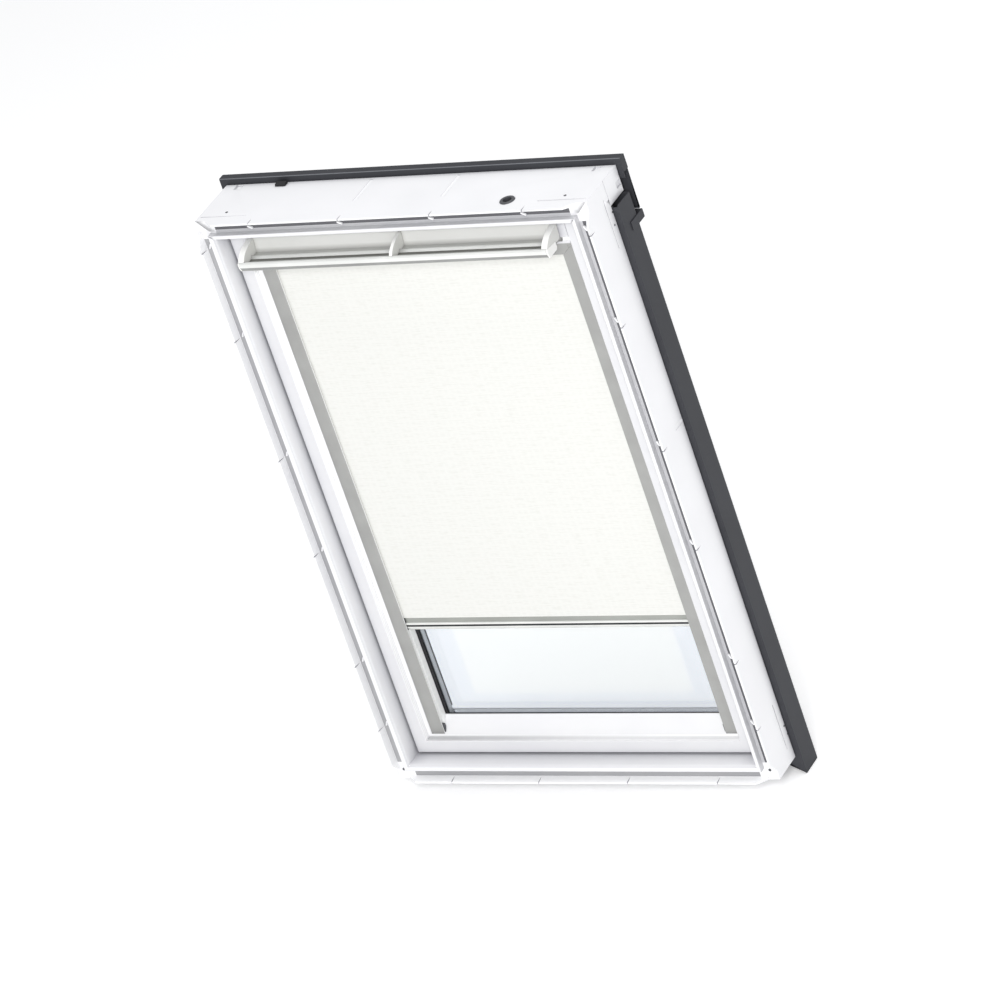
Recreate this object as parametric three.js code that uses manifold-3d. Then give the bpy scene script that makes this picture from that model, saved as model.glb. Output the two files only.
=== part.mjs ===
import * as THREE from 'three';
import { mergeVertices } from 'three/addons/utils/BufferGeometryUtils.js';
import Module from 'manifold-3d';

// Centre-pivot roof window with a roller blind in its sash. Millimetres.
// X runs across the window, Y from the room outwards, Z up the slope of the roof.
// The origin is the middle of the frame's lower outer face.

// Fits
const gap = 0.3;
const overrun = 1;
const mergeDistance = 0.0001;
const arcSteps = 6;
const roundSides = 32;

// Frame
const frameWidth = 780;
const frameHeight = 1178;
const rebateDepth = 86;
const jambBeyondRebate = 46.7;
const headBeyondJamb = 6.3;
const lipFace = 3.5;
const lipBase = 6;
const grooveDepth = 17;
const grooveWidth = 18;
const innerLipDepth = 4;
const innerLipRound = 1.6;
const innerLipWidth = 8.9;
const innerLipFall = 4.4;
const revealTaper = 4.6;
const jambWall = 11.5;
const hookGrooveWidth = 4;
const hookGrooveFromWall = 2.5;
const lipEndAtFloor = 20;
const lipEndRamp = 20;
const notchWidth = 3;
const notchDepth = 16;
const widthNotchShares = [0.15, 0.383, 0.617, 0.85];
const heightNotchShares = [0.098, 0.2165, 0.418, 0.589, 0.799, 0.952];

// Bracket slots and grooves in the frame's outer faces
const slotWidth = 1.5;
const slotDepth = 4;
const slotLength = 94;
const jambSlotBeforeRebate = 17;
const jambSlotFromEnd = 28;
const headSlotDepthwise = 30;
const headSlotFromEnd = 5;
const accessoryGroove = 6.5;
const accessoryGrooveSpacing = 176;
const accessoryGrooveLength = 71;
const accessoryGrooveFromBack = 7;
const accessoryGrooveCut = 1.2;
const keyNotchWidth = 15;
const keyNotchHeight = 4;
const keyNotchLength = 18;
const keyNotchFromBack = 1.5;
const keyNotchFromEnd = 31;
const endKeyHeight = 12;
const endKeyDepth = 3;
const jambKeyWidth = 8;
const jambKeyLength = 28;
const jambKeyDepth = 1.5;
const jambKeyFromTop = 474;

// Sash
const sashGap = 6;
const sashFace = 37;
const sashThickness = 75;
const faceWidth = 25;
const faceRound = 2;
const faceLean = 2.5;
const faceWall = 15.8;
const bevelWidth = 30;
const bevelFall = 21.7;
const lipTip = 1.5;
const glassBite = 12.5;
const ridgeFirst = 3.2;
const ridgePitch = 4.1;
const ridgeWidth = 1.8;
const ridgeHeight = 1;
const panelWidth = 45.5;
const panelThickness = 13.5;
const panelStep = 2;
const ventNotchHeight = 25.5;
const ventNotchThickness = 25;
const ventNotchFromEnd = 84.5;

// Glazing
const glassEdgePlay = 2;
const gasketThickness = 2.7;
const gasketShow = 6;
const gasketShowBelow = 1.5;
const paneThickness = 4;
const spacerDepth = 11.8;
const spacerWidth = 10.5;

// Sash cladding and the seal
const sheet = 1.5;
const claddingEdge = 1.5;
const claddingRise = 8.7;
const claddingTurn = 4.5;
const claddingFlat = 30;
const claddingReach = 61;
const claddingDip = 21;
const claddingFlatBelow = 34;
const claddingReachBelow = 46;
const claddingDipBelow = 11;
const sealWidth = 7;
const sealBeforeBack = 8;
const sealHeight = 1.7;

// Pivot hinge
const pivotBehindFace = 43;
const pinRadius = 6;
const bushPlay = 0.5;
const bushWall = 2.5;
const bushShort = 1.5;
const platePlay = 2;
const hingePlateWidth = 40;
const hingePlateHeight = 150;
const hingePlateThickness = 2;
const pinFlangeRadius = 12;
const pinFlangeThickness = 2;
const shankRadius = 5;
const shankLength = 14;

// Cladding on the frame
const cover = 2;
const coverOut = 10;
const coverHook = 4;
const coverFlangeShort = 0.5;
const coverBelow = 37;
const hookClearBelow = 3;
const coverTopDrop = 12.5;
const coverTopRound = 9;
const hoodRise = 12;
const hoodDepth = 16.7;
const hoodDrop = 93;
const hoodHem = 6;
const hoodLegDrop = 27;
const hoodEndHeight = 27;
const sillCoverReturn = 14;
const bracketLength = 46;
const bracketHeight = 16;
const bracketReturn = 17;
const clipFromEnd = 119;
const clipWidth = 20;
const clipFromBack = 4;
const clipDepthwise = 11;
const clipHeight = 5;
const clipBeak = 2;

// Cable grommet
const grommetFromEnd = 161;
const grommetDepthwise = 36;
const grommetRadius = 11;
const grommetFlange = 3;
const grommetFlangeThickness = 1.4;
const grommetHole = 16;
const grommetCup = 8;
const grommetWall = 3;

// Control bar: heights below its front ridge, depths behind its nose
const barFromEnd = 40.5;
const barBelowSashTop = 25;
const barDepth = 32.5;
const barBeforeFloor = 3.5;
const barRidgeBehind = 5.5;
const barUnderBehind = 3.5;
const barChannelBehind = 17.5;
const barNoseTopDrop = 3;
const barNoseHeight = 6;
const barHeight = 16.7;
const barHeelHeight = 3.2;
const barBackRidgeDrop = 2.9;
const barBackRidgeWidth = 3.5;
const barChannelDrop = 15;
const barCap = 2.6;

// Ventilation flap and arms: heights from the bar's front ridge, depths before the sash's face
const flapPlay = 0.6;
const flapThickness = 2.8;
const flapFromSashTop = 2.5;
const coveDepth = 6.9;
const coveBottomDrop = 5;
const coveBellyRise = 3.5;
const flapFloorDrop = 6.1;
const flapFloorDepth = 12;
const flapFloorThickness = 3.8;
const flapNeckDrop = 10.9;
const flapAxisDrop = 12.5;
const flapAxisInSash = 1.5;
const ribRadius = 4;
const armThickness = 9;
const middleArmThickness = 6;
const armBulge = 0.3;
const armFromFlapTop = 1.5;

// Latch and filter
const latchHalf = 30;
const latchBeforeBack = 12;
const latchThickness = 30;
const latchFloor = 5;
const tongueHalf = 8;
const tongueInCase = 9.3;
const tongueThickness = 12;
const tongueRise = 3.5;
const tongueTravel = 8;
const tongueFloor = 2.2;
const tongueRound = 5;
const strikerBeside = 24;
const strikerMargin = 7;
const strikerThickness = 2;
const strikerPlay = 2.5;
const strikerPocket = 7;
const filterShort = 6;
const filterThickness = 9;
const filterHeight = 20;

// Blind
const railBehindBevelStart = 0.6;
const railOverTip = 0.2;
const railWidth = 27.4;
const railFrontWall = 1.7;
const railSlot = 6.5;
const railSlotReach = 15.2;
const cassetteHeight = 28.7;
const cassetteWall = 1.2;
const cassetteMouth = 10;
const mitreRise = 22;
const rollerBehind = 1.5;
const rollerAbove = 6.3;
const tubeRadius = 6;
const tubeWall = 1;
const tubeEndPlay = 4.7;
const woundThickness = 0.7;
const clothThickness = 0.4;
const clothEdgePlay = 3;
const plugLength = 12;
const plugPin = 2.6;
const plugPinLength = 7;
const springLength = 150;
const springStart = 20;
const bottomBarHeight = 24.6;
const bottomBarBeforeSlot = 0.5;
const bottomBarThickness = 7.6;
const bottomBarShelf = 2.9;
const bottomBarGroove = 2;
const ridgeTopShare = 0.62;
const ridgeTopEndShare = 0.47;
const grooveEndShare = 0.35;
const lowRidgeShare = 0.3;
const lowRidgeEndShare = 0.23;
const glideEndPlay = 1.5;
const glidePlay = 0.6;
const bottomBarAboveBevel = 5.6;
const bottomBarBelowCassette = 5.4;
const blindRaisedShare = 0.2188;
const stopProud = 2.2;

// Places that follow from the sizes above
const centre = frameHeight / 2;
const halfWidth = frameWidth / 2;
const jambDepth = rebateDepth + jambBeyondRebate;
const headDepth = jambDepth + headBeyondJamb;
const grooveInset = lipBase + grooveWidth;
const revealStart = grooveInset + innerLipWidth;
const revealStartDepth = innerLipDepth + innerLipFall;
const revealEnd = revealStart + revealTaper;
const rebateStep = revealEnd - jambWall;
const hookGrooveEnd = rebateStep - hookGrooveFromWall;
const hookGrooveStart = hookGrooveEnd - hookGrooveWidth;
const openingHalf = halfWidth - revealEnd;

const sashInset = revealEnd + sashGap;
const sashWidth = frameWidth - 2 * sashInset;
const sashHeight = frameHeight - 2 * sashInset;
const sashHalf = sashWidth / 2;
const sashTop = frameHeight - sashInset;
const sashBack = sashFace + sashThickness;
const bevelInset = faceWidth + faceLean;
const bevelDepth = sashFace + faceWall;
const glassInset = bevelInset + bevelWidth;
const lipTipDepth = bevelDepth + bevelFall;
const lipBack = lipTipDepth + lipTip;
const glassRebate = glassInset - glassBite;
const bevelSlope = bevelFall / bevelWidth;
const topRailWidth = panelWidth + panelStep;
const topRailRebate = topRailWidth - glassBite;
const topRailPanelSide = faceWidth + gap;
const pivotDepth = sashFace + pivotBehindFace;
const coverFront = rebateDepth - coverHook;
const coverTop = frameHeight - revealEnd - coverTopDrop;

const paint = (color, roughness, metalness) =>
  new THREE.MeshStandardMaterial({ color, roughness, metalness });
const white = paint('#f4f4f7', 0.42, 0);
const whiteSash = paint('#f1f1f4', 0.42, 0);
const warmWhite = paint('#e6e6e1', 0.45, 0);
const darkMetal = paint('#4e4f55', 0.5, 0.6);
const aluminium = paint('#b4b6b5', 0.4, 0.9);
const silver = paint('#cfd0ce', 0.35, 0.9);
const blackRubber = paint('#17171a', 0.8, 0);
const glassBlue = new THREE.MeshStandardMaterial({
  color: '#e4effa', roughness: 0.05, metalness: 0, transparent: true, opacity: 0.35,
});
const clothWhite = paint('#f7f8f3', 0.9, 0);
const plasticGrey = paint('#8d9094', 0.6, 0);
const steel = paint('#9b9da0', 0.35, 0.9);

const wasm = await Module();
wasm.setup();

// A closed outline: a point of two numbers is a corner, one of four is a curve's control point and its end.
function outline(points) {
  const shape = new THREE.Shape();
  shape.moveTo(points[0][0], points[0][1]);
  for (const point of points.slice(1)) {
    if (point.length === 4) shape.quadraticCurveTo(...point);
    else shape.lineTo(...point);
  }
  return shape;
}

const basis = (x, y, z) => new THREE.Matrix4().makeBasis(
  new THREE.Vector3(...x), new THREE.Vector3(...y), new THREE.Vector3(...z),
);
const alongX = basis([0, 1, 0], [0, 0, 1], [1, 0, 0]);
const alongY = basis([1, 0, 0], [0, 0, 1], [0, -1, 0]);

// An outline swept straight along an axis: (Y, Z) along X, (X, Z) along Y, (X, Y) along Z.
function run(points, axis, from, to, holes = []) {
  const shape = outline(points);
  shape.holes = holes.map(outline);
  const swept = new THREE.ExtrudeGeometry(shape, {
    depth: to - from, bevelEnabled: false, curveSegments: arcSteps,
  });
  if (axis === 'x') return swept.applyMatrix4(alongX).translate(from, 0, 0);
  if (axis === 'y') return swept.applyMatrix4(alongY).translate(0, to, 0);
  return swept.translate(0, 0, from);
}

const corners = (a0, b0, a1, b1) => [[a0, b0], [a1, b0], [a1, b1], [a0, b1]];
const block = (x0, x1, y0, y1, z0, z1) => run(corners(x0, y0, x1, y1), 'z', z0, z1);

// A turned shape about an axis along X: pairs of radius and distance along the axis.
function turned(profile, side, depth, height) {
  const points = profile.map(([radius, along]) => new THREE.Vector2(radius, along));
  return new THREE.LatheGeometry(points, roundSides)
    .rotateZ(side * -Math.PI / 2)
    .translate(0, depth, height);
}

function solid(geometry) {
  const bare = new THREE.BufferGeometry();
  bare.setAttribute('position', geometry.getAttribute('position').clone());
  if (geometry.index) bare.setIndex(geometry.index);
  const merged = mergeVertices(bare, mergeDistance);
  return new wasm.Manifold(new wasm.Mesh({
    numProp: 3,
    vertProperties: new Float32Array(merged.getAttribute('position').array),
    triVerts: new Uint32Array(merged.index.array),
  }));
}

function faceted(manifold) {
  const mesh = manifold.getMesh();
  const geometry = new THREE.BufferGeometry();
  geometry.setAttribute('position', new THREE.BufferAttribute(mesh.vertProperties, 3));
  geometry.setIndex(new THREE.BufferAttribute(mesh.triVerts, 1));
  const flat = geometry.toNonIndexed();
  flat.computeVertexNormals();
  return flat;
}

const cut = (geometry, ...tools) =>
  faceted(tools.reduce((body, tool) => body.subtract(solid(tool)), solid(geometry)));
const join = (first, ...others) =>
  faceted(others.reduce((body, other) => body.add(solid(other)), solid(first)));

// A member of a rectangular frame: its section is (inset from the outer edge, depth), and its ends are
// mitred where asked, so that it meets its neighbour with the fitting gap.
function member(section, length, mitreStart, mitreEnd) {
  const bar = run(section, 'z', 0, length);
  const position = bar.getAttribute('position');
  for (let i = 0; i < position.count; i += 1) {
    const inset = position.getX(i);
    if (position.getZ(i) < length / 2) {
      if (mitreStart) position.setZ(i, inset + gap / 2);
    } else if (mitreEnd) position.setZ(i, length - inset - gap / 2);
  }
  return bar;
}

// Places a member on a side of a rectangle that starts at height base and is centred on X = 0.
function onSide(bar, side, width, height, base) {
  const place = {
    sill: basis([0, 0, 1], [0, 1, 0], [-1, 0, 0]).setPosition(width / 2, 0, base),
    head: basis([0, 0, -1], [0, 1, 0], [1, 0, 0]).setPosition(-width / 2, 0, base + height),
    left: basis([1, 0, 0], [0, 1, 0], [0, 0, 1]).setPosition(-width / 2, 0, base),
    right: basis([-1, 0, 0], [0, 1, 0], [0, 0, -1]).setPosition(width / 2, 0, base + height),
  };
  return bar.applyMatrix4(place[side]);
}

// A rectangular ring between two rectangles in X and Z, from one depth to another.
const ring = (outer, inner, from, to) => run(corners(...outer), 'y', from, to, [corners(...inner)]);

const roofWindow = new THREE.Group();
const mirrored = [['left', -1], ['right', 1]];

function piece(name, geometry, material) {
  const mesh = new THREE.Mesh(geometry, material);
  mesh.name = name;
  roofWindow.add(mesh);
  return mesh;
}

// Spans two places across the window in ascending order, for a side of -1 or 1.
const span = (side, a, b) => (side > 0 ? [a, b] : [-b, -a]);

// Frame section: outer lip, lining groove, inner lip and reveal, and on the jambs and sill a rebate for
// the cladding.
function frameSection(stepped) {
  const room = [
    [0, 0],
    [lipFace, 0],
    [lipBase, grooveDepth],
    [grooveInset, grooveDepth],
    [grooveInset, innerLipDepth + innerLipRound],
    [grooveInset, innerLipDepth, grooveInset + innerLipRound, innerLipDepth],
    [revealStart, innerLipDepth, revealStart, revealStartDepth],
    [revealEnd, revealStartDepth, revealEnd, sashFace],
  ];
  if (!stepped) return [...room, [revealEnd, rebateDepth + overrun], [0, rebateDepth + overrun]];
  return [
    ...room,
    [revealEnd, jambDepth],
    [rebateStep, jambDepth],
    [rebateStep, rebateDepth],
    [hookGrooveEnd, rebateDepth],
    [hookGrooveEnd, coverFront - 2 * gap],
    [hookGrooveStart, coverFront - 2 * gap],
    [hookGrooveStart, rebateDepth],
    [0, rebateDepth],
  ];
}

// Tools that break the outer lip: a ramp at both ends and a notch at each place along it.
function lipTools(length, places) {
  const tools = places.map((place) => run([
    [-overrun, place - notchWidth / 2],
    [-overrun, place + notchWidth / 2],
    [notchDepth, place],
  ], 'x', -overrun, lipBase + overrun));
  const rampSlope = lipEndRamp / grooveDepth;
  const ramp = (at, way) => run([
    [-overrun, at - way * overrun],
    [-overrun, at + way * (lipEndAtFloor + lipEndRamp + overrun * rampSlope)],
    [grooveDepth, at + way * lipEndAtFloor],
    [grooveDepth, at - way * overrun],
  ], 'x', -overrun, lipBase + overrun);
  return [...tools, ramp(0, 1), ramp(length, -1)];
}

const slotAlong = (depthwise, from, to) => block(
  -overrun, slotDepth, depthwise - slotWidth / 2, depthwise + slotWidth / 2, from, to,
);

const bushRadius = pinRadius + bushPlay + bushWall;
const bushDepth = jambWall - bushShort;
const jambSlotDepthwise = rebateDepth - jambSlotBeforeRebate;
function jamb(side) {
  const fromTop = side > 0 ? (share) => 1 - share : (share) => share;
  const notches = heightNotchShares.map((share) => frameHeight * fromTop(share));
  const bar = cut(
    member(frameSection(true), frameHeight, true, true),
    ...lipTools(frameHeight, notches),
    slotAlong(jambSlotDepthwise, jambSlotFromEnd, jambSlotFromEnd + slotLength),
    slotAlong(jambSlotDepthwise, frameHeight - jambSlotFromEnd - slotLength, frameHeight - jambSlotFromEnd),
  );
  const keyHeight = frameHeight - jambKeyFromTop;
  const key = block(
    ...span(side, halfWidth - jambKeyDepth, halfWidth + overrun),
    rebateDepth - keyNotchFromBack - jambKeyLength, rebateDepth - keyNotchFromBack,
    keyHeight - jambKeyWidth / 2, keyHeight + jambKeyWidth / 2,
  );
  const placed = onSide(bar, side > 0 ? 'right' : 'left', frameWidth, frameHeight, 0);
  const headSeat = block(
    ...span(side, openingHalf - overrun, halfWidth + overrun),
    rebateDepth - gap, jambDepth + overrun,
    coverTop, frameHeight + overrun,
  );
  const [x0, x1] = span(side, openingHalf - overrun, openingHalf + bushDepth + gap);
  const boreLength = x1 - x0;
  const bore = turned(
    [[0, 0], [bushRadius + gap, 0], [bushRadius + gap, boreLength], [0, boreLength]],
    1, pivotDepth, centre,
  ).translate(x0, 0, 0);
  return cut(placed, headSeat, bore, key);
}
for (const [word, side] of mirrored) piece(`frame_jamb_${word}`, jamb(side), white);

const widthNotches = widthNotchShares.map((share) => frameWidth * share);
piece('frame_sill', onSide(
  cut(member(frameSection(true), frameWidth, true, true), ...lipTools(frameWidth, widthNotches)),
  'sill', frameWidth, frameHeight, 0,
), white);

const latchBack = sashBack - latchBeforeBack;
const latchFront = latchBack - latchThickness;
const tongueFront = latchFront + tongueInCase;
const tongueBack = tongueFront + tongueThickness;
const strikerHalf = tongueHalf + strikerBeside;
const strikerFront = tongueFront - strikerMargin;
const strikerBack = tongueBack + strikerMargin;
const grommetPlace = halfWidth - grommetFromEnd;

// The head is deeper than the jambs, and its cheeks close their rebate down to the side covers.
function head() {
  const bar = cut(
    member(frameSection(false), frameWidth, true, true),
    ...lipTools(frameWidth, widthNotches),
    slotAlong(headSlotDepthwise, headSlotFromEnd, headSlotFromEnd + slotLength),
    slotAlong(headSlotDepthwise, frameWidth - headSlotFromEnd - slotLength, frameWidth - headSlotFromEnd),
  );
  const crown = block(
    -halfWidth, halfWidth, rebateDepth, headDepth, frameHeight - revealEnd, frameHeight,
  );
  const cheeks = mirrored.map(([, side]) => block(
    ...span(side, openingHalf, halfWidth), rebateDepth, headDepth,
    coverTop + gap, frameHeight - revealEnd + overrun,
  ));
  const above = frameHeight + overrun;
  const grooves = [-1, 1].map((side) => block(
    side * accessoryGrooveSpacing / 2 - accessoryGroove / 2,
    side * accessoryGrooveSpacing / 2 + accessoryGroove / 2,
    headDepth - accessoryGrooveFromBack - accessoryGrooveLength, headDepth - accessoryGrooveFromBack,
    frameHeight - accessoryGrooveCut, above,
  ));
  const keyPlace = halfWidth - keyNotchFromEnd;
  const keys = [-1, 1].map((side) => block(
    side * keyPlace - keyNotchWidth / 2, side * keyPlace + keyNotchWidth / 2,
    headDepth - keyNotchLength, headDepth - keyNotchFromBack, frameHeight - keyNotchHeight, above,
  ));
  const endKeys = [-1, 1].map((side) => block(
    ...span(side, halfWidth - endKeyDepth, halfWidth + overrun),
    headDepth - keyNotchLength, headDepth - keyNotchFromBack,
    frameHeight - keyNotchFromEnd - endKeyHeight / 2, frameHeight - keyNotchFromEnd + endKeyHeight / 2,
  ));
  const grommetBore = new THREE.CylinderGeometry(
    grommetRadius + gap, grommetRadius + gap, grommetHole + overrun, roundSides,
  ).rotateX(Math.PI / 2).translate(
    grommetPlace, grommetDepthwise, frameHeight - (grommetHole - overrun) / 2,
  );
  const under = frameHeight - revealEnd;
  const strikerSeat = block(
    -strikerHalf - gap, strikerHalf + gap, strikerFront - gap, strikerBack + gap,
    under - overrun, under + strikerThickness + gap,
  );
  const pocket = block(
    -tongueHalf - strikerPlay, tongueHalf + strikerPlay, tongueFront - strikerPlay, tongueBack + strikerPlay,
    under - overrun, under + strikerPocket,
  );
  const placed = onSide(bar, 'head', frameWidth, frameHeight, 0);
  return cut(
    join(placed, crown, ...cheeks), ...grooves, ...keys, ...endKeys, grommetBore, strikerSeat, pocket,
  );
}
piece('frame_head', head(), white);

const strikerZ = frameHeight - revealEnd;
piece('striker_plate', run(
  corners(-strikerHalf, strikerFront, strikerHalf, strikerBack), 'z',
  strikerZ, strikerZ + strikerThickness,
  [corners(
    -tongueHalf - strikerPlay, tongueFront - strikerPlay, tongueHalf + strikerPlay, tongueBack + strikerPlay,
  )],
), steel);

// Grommet that brings a cable through the head: a cup with a flange on the head's top.
piece('cable_grommet', new THREE.LatheGeometry([
  [0, -grommetHole + overrun],
  [grommetRadius, -grommetHole + overrun],
  [grommetRadius, gap],
  [grommetRadius + grommetFlange, gap],
  [grommetRadius + grommetFlange - grommetFlangeThickness / 2, gap + grommetFlangeThickness],
  [grommetRadius - grommetWall, gap + grommetFlangeThickness],
  [grommetRadius - grommetWall, gap + grommetFlangeThickness - grommetCup],
  [0, gap + grommetFlangeThickness - grommetCup],
].map((point) => new THREE.Vector2(...point)), roundSides)
  .rotateX(Math.PI / 2)
  .translate(grommetPlace, grommetDepthwise, frameHeight), plasticGrey);

// Clip that holds the hood on the head
const clipStart = headDepth - clipFromBack - clipDepthwise;
const clipPlace = clipFromEnd - halfWidth;
piece('hood_clip', run([
  [clipStart, frameHeight + gap],
  [clipStart + clipDepthwise, frameHeight + gap],
  [clipStart + clipDepthwise, frameHeight + clipHeight],
  [clipStart + clipBeak, frameHeight + clipHeight],
  [clipStart, frameHeight + clipHeight - clipBeak],
], 'x', clipPlace - clipWidth / 2, clipPlace + clipWidth / 2), blackRubber);

// Seal on the frame's inner wall, clear of the sash's corners as they swing past it
const sealOuter = openingHalf - gap;
const sealInner = openingHalf - gap - sealHeight;
const sealZ = revealEnd + gap;
const sealStart = sashBack - sealBeforeBack;
piece('frame_seal', ring(
  [-sealOuter, sealZ, sealOuter, frameHeight - sealZ],
  [-sealInner, sealZ + sealHeight, sealInner, frameHeight - sealZ - sealHeight],
  sealStart, sealStart + sealWidth,
), blackRubber);

// Cladding beside the frame: a wall, a flange over the jamb and a leg that hooks into the jamb's rebate
const coverBack = jambDepth + gap + cover;
const coverFlangeEnd = openingHalf + coverFlangeShort;
const legFront = rebateDepth + gap;
function sideCover(side) {
  const out = halfWidth + coverOut;
  const hookX = halfWidth - hookGrooveStart - gap;
  const section = [
    [out + cover, legFront],
    [out + cover, coverBack],
    [coverFlangeEnd, coverBack],
    [coverFlangeEnd, coverBack - cover],
    [out, coverBack - cover],
    [out, legFront + cover],
    [hookX - cover, legFront + cover],
    [hookX - cover, coverFront],
    [hookX, coverFront],
    [hookX, legFront],
  ].map(([x, y]) => [side * x, y]);
  const bar = run(section, 'z', -coverBelow, coverTop);
  const round = coverTopRound;
  const corner = run([
    [coverFront - overrun, coverTop - round],
    [legFront, coverTop - round],
    [legFront, coverTop, legFront + round, coverTop],
    [legFront + round, coverTop + overrun],
    [coverFront - overrun, coverTop + overrun],
  ], 'x', ...span(side, hookX - cover - overrun, out + cover + overrun));
  const overSill = block(
    ...span(side, hookX - cover - overrun, hookX + gap), coverFront - overrun, legFront,
    -hookClearBelow, hookGrooveEnd + gap,
  );
  return cut(bar, corner, overSill);
}
for (const [word, side] of mirrored) piece(`side_cover_${word}`, sideCover(side), darkMetal);

// Hood over the window's head: a folded sheet with a small plate at each end
const hoodFront = headDepth + gap;
const hoodBack = hoodFront + hoodDepth;
function hood() {
  const top = frameHeight + hoodRise;
  const low = frameHeight - hoodDrop;
  const legEnd = frameHeight - hoodLegDrop;
  const half = halfWidth + coverOut;
  const folded = run([
    [hoodFront, legEnd],
    [hoodFront, top],
    [hoodBack, top],
    [hoodBack, low],
    [hoodBack - hoodHem, low],
    [hoodBack - hoodHem, low + cover],
    [hoodBack - cover, low + cover],
    [hoodBack - cover, top - cover],
    [hoodFront + cover, top - cover],
    [hoodFront + cover, legEnd],
  ], 'x', -half, half);
  const ends = mirrored.map(([, side]) => block(
    ...span(side, half, half + cover), hoodFront, hoodBack, top - hoodEndHeight, top,
  ));
  return join(folded, ...ends);
}
piece('hood', hood(), darkMetal);

// Bracket that ties the hood's end to the side cover
for (const [word, side] of mirrored) {
  const x = halfWidth + coverOut + cover + gap;
  const back = hoodBack - cover;
  const section = [
    [x, back - bracketLength],
    [x + sheet, back - bracketLength],
    [x + sheet, back],
    [x - bracketReturn, back],
    [x - bracketReturn, back - sheet],
    [x, back - sheet],
  ].map(([across, deep]) => [side * across, deep]);
  const top = frameHeight - hoodDrop - cover;
  piece(`cover_bracket_${word}`, run(section, 'z', top - bracketHeight, top), darkMetal);
}

// Cladding below the sill, between the side covers' flanges
const sillCoverFace = coverBack - cover;
piece('sill_cover', run([
  [sillCoverFace, revealEnd - sheet],
  [coverBack, revealEnd - sheet],
  [coverBack, -coverBelow],
  [sillCoverFace - sillCoverReturn, -coverBelow],
  [sillCoverFace - sillCoverReturn, cover - coverBelow],
  [sillCoverFace, cover - coverBelow],
], 'x', -coverFlangeEnd + gap, coverFlangeEnd - gap), darkMetal);

// Sash section: face, three ridges on its inner edge, the bevel down to the glass and the glass rebate
function ridges(inset) {
  return [0, 1, 2].flatMap((index) => {
    const depth = sashFace + ridgeFirst + index * ridgePitch;
    return [
      [inset, depth],
      [inset + ridgeHeight, depth + ridgeWidth / 2],
      [inset, depth + ridgeWidth],
    ];
  });
}
const sashSection = [
  [0, sashFace],
  [faceWidth - faceRound, sashFace],
  [faceWidth, sashFace, faceWidth, sashFace + faceRound],
  ...ridges(faceWidth),
  [bevelInset, bevelDepth],
  [glassInset, lipTipDepth],
  [glassInset, lipBack],
  [glassRebate, lipBack],
  [glassRebate, sashBack],
  [0, sashBack],
];
const cassetteTop = sashTop - topRailWidth - gap;
const cassetteBottom = cassetteTop - cassetteHeight;
function stile(side) {
  const bar = member(sashSection, sashHeight, side < 0, side > 0);
  const placed = onSide(bar, side > 0 ? 'right' : 'left', sashWidth, sashHeight, sashInset);
  const seat = block(
    ...span(side, sashHalf - glassInset - overrun, sashHalf - topRailPanelSide + gap),
    sashFace - overrun, lipBack, cassetteBottom - gap, sashTop + overrun,
  );
  const [x0, x1] = span(side, sashHalf - shankLength - 2 * gap, sashHalf + overrun);
  const bore = turned(
    [[0, 0], [shankRadius + gap, 0], [shankRadius + gap, x1 - x0], [0, x1 - x0]],
    1, pivotDepth, centre,
  ).translate(x0, 0, 0);
  return cut(placed, seat, bore);
}
for (const [word, side] of mirrored) piece(`sash_stile_${word}`, stile(side), whiteSash);
piece('sash_bottom_rail', onSide(
  member(sashSection, sashWidth, true, true), 'sill', sashWidth, sashHeight, sashInset,
), whiteSash);

const barTop = sashTop - barBelowSashTop;
const flapAxisHeight = barTop - flapAxisDrop;
const flapAxisDepth = sashFace + flapAxisInSash;
const ventNotchHalf = sashHalf - ventNotchFromEnd;
const ventNotchBack = sashFace + ventNotchThickness;
const latchDeep = topRailRebate - latchFloor;

// The top rail carries the flap in a round groove, and has the vent notch and the latch pocket in its
// upper edge.
function topRail() {
  const half = sashHalf - topRailPanelSide;
  const front = run([
    [sashFace, sashTop],
    [sashFace, sashTop - panelWidth],
    [sashFace + panelThickness, sashTop - panelWidth],
    [sashFace + panelThickness + panelStep, sashTop - topRailWidth],
    [lipBack, sashTop - topRailWidth],
    [lipBack, sashTop],
  ], 'x', -half, half);
  const backHalf = sashHalf - glassRebate - gap;
  const back = block(
    -backHalf, backHalf, lipBack - overrun, sashBack, sashTop - topRailRebate, sashTop,
  );
  const ventNotch = block(
    -ventNotchHalf, ventNotchHalf, sashFace - overrun, ventNotchBack,
    sashTop - ventNotchHeight, sashTop + overrun,
  );
  const groove = turned(
    [[0, -half - overrun], [ribRadius + gap, -half - overrun],
      [ribRadius + gap, half + overrun], [0, half + overrun]],
    1, flapAxisDepth, flapAxisHeight,
  );
  const latchPocket = block(
    -latchHalf - gap, latchHalf + gap, latchFront - gap, latchBack + gap,
    sashTop - latchDeep - gap, sashTop + overrun,
  );
  return cut(join(front, back), ventNotch, groove, latchPocket);
}
piece('sash_top_rail', topRail(), whiteSash);

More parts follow.
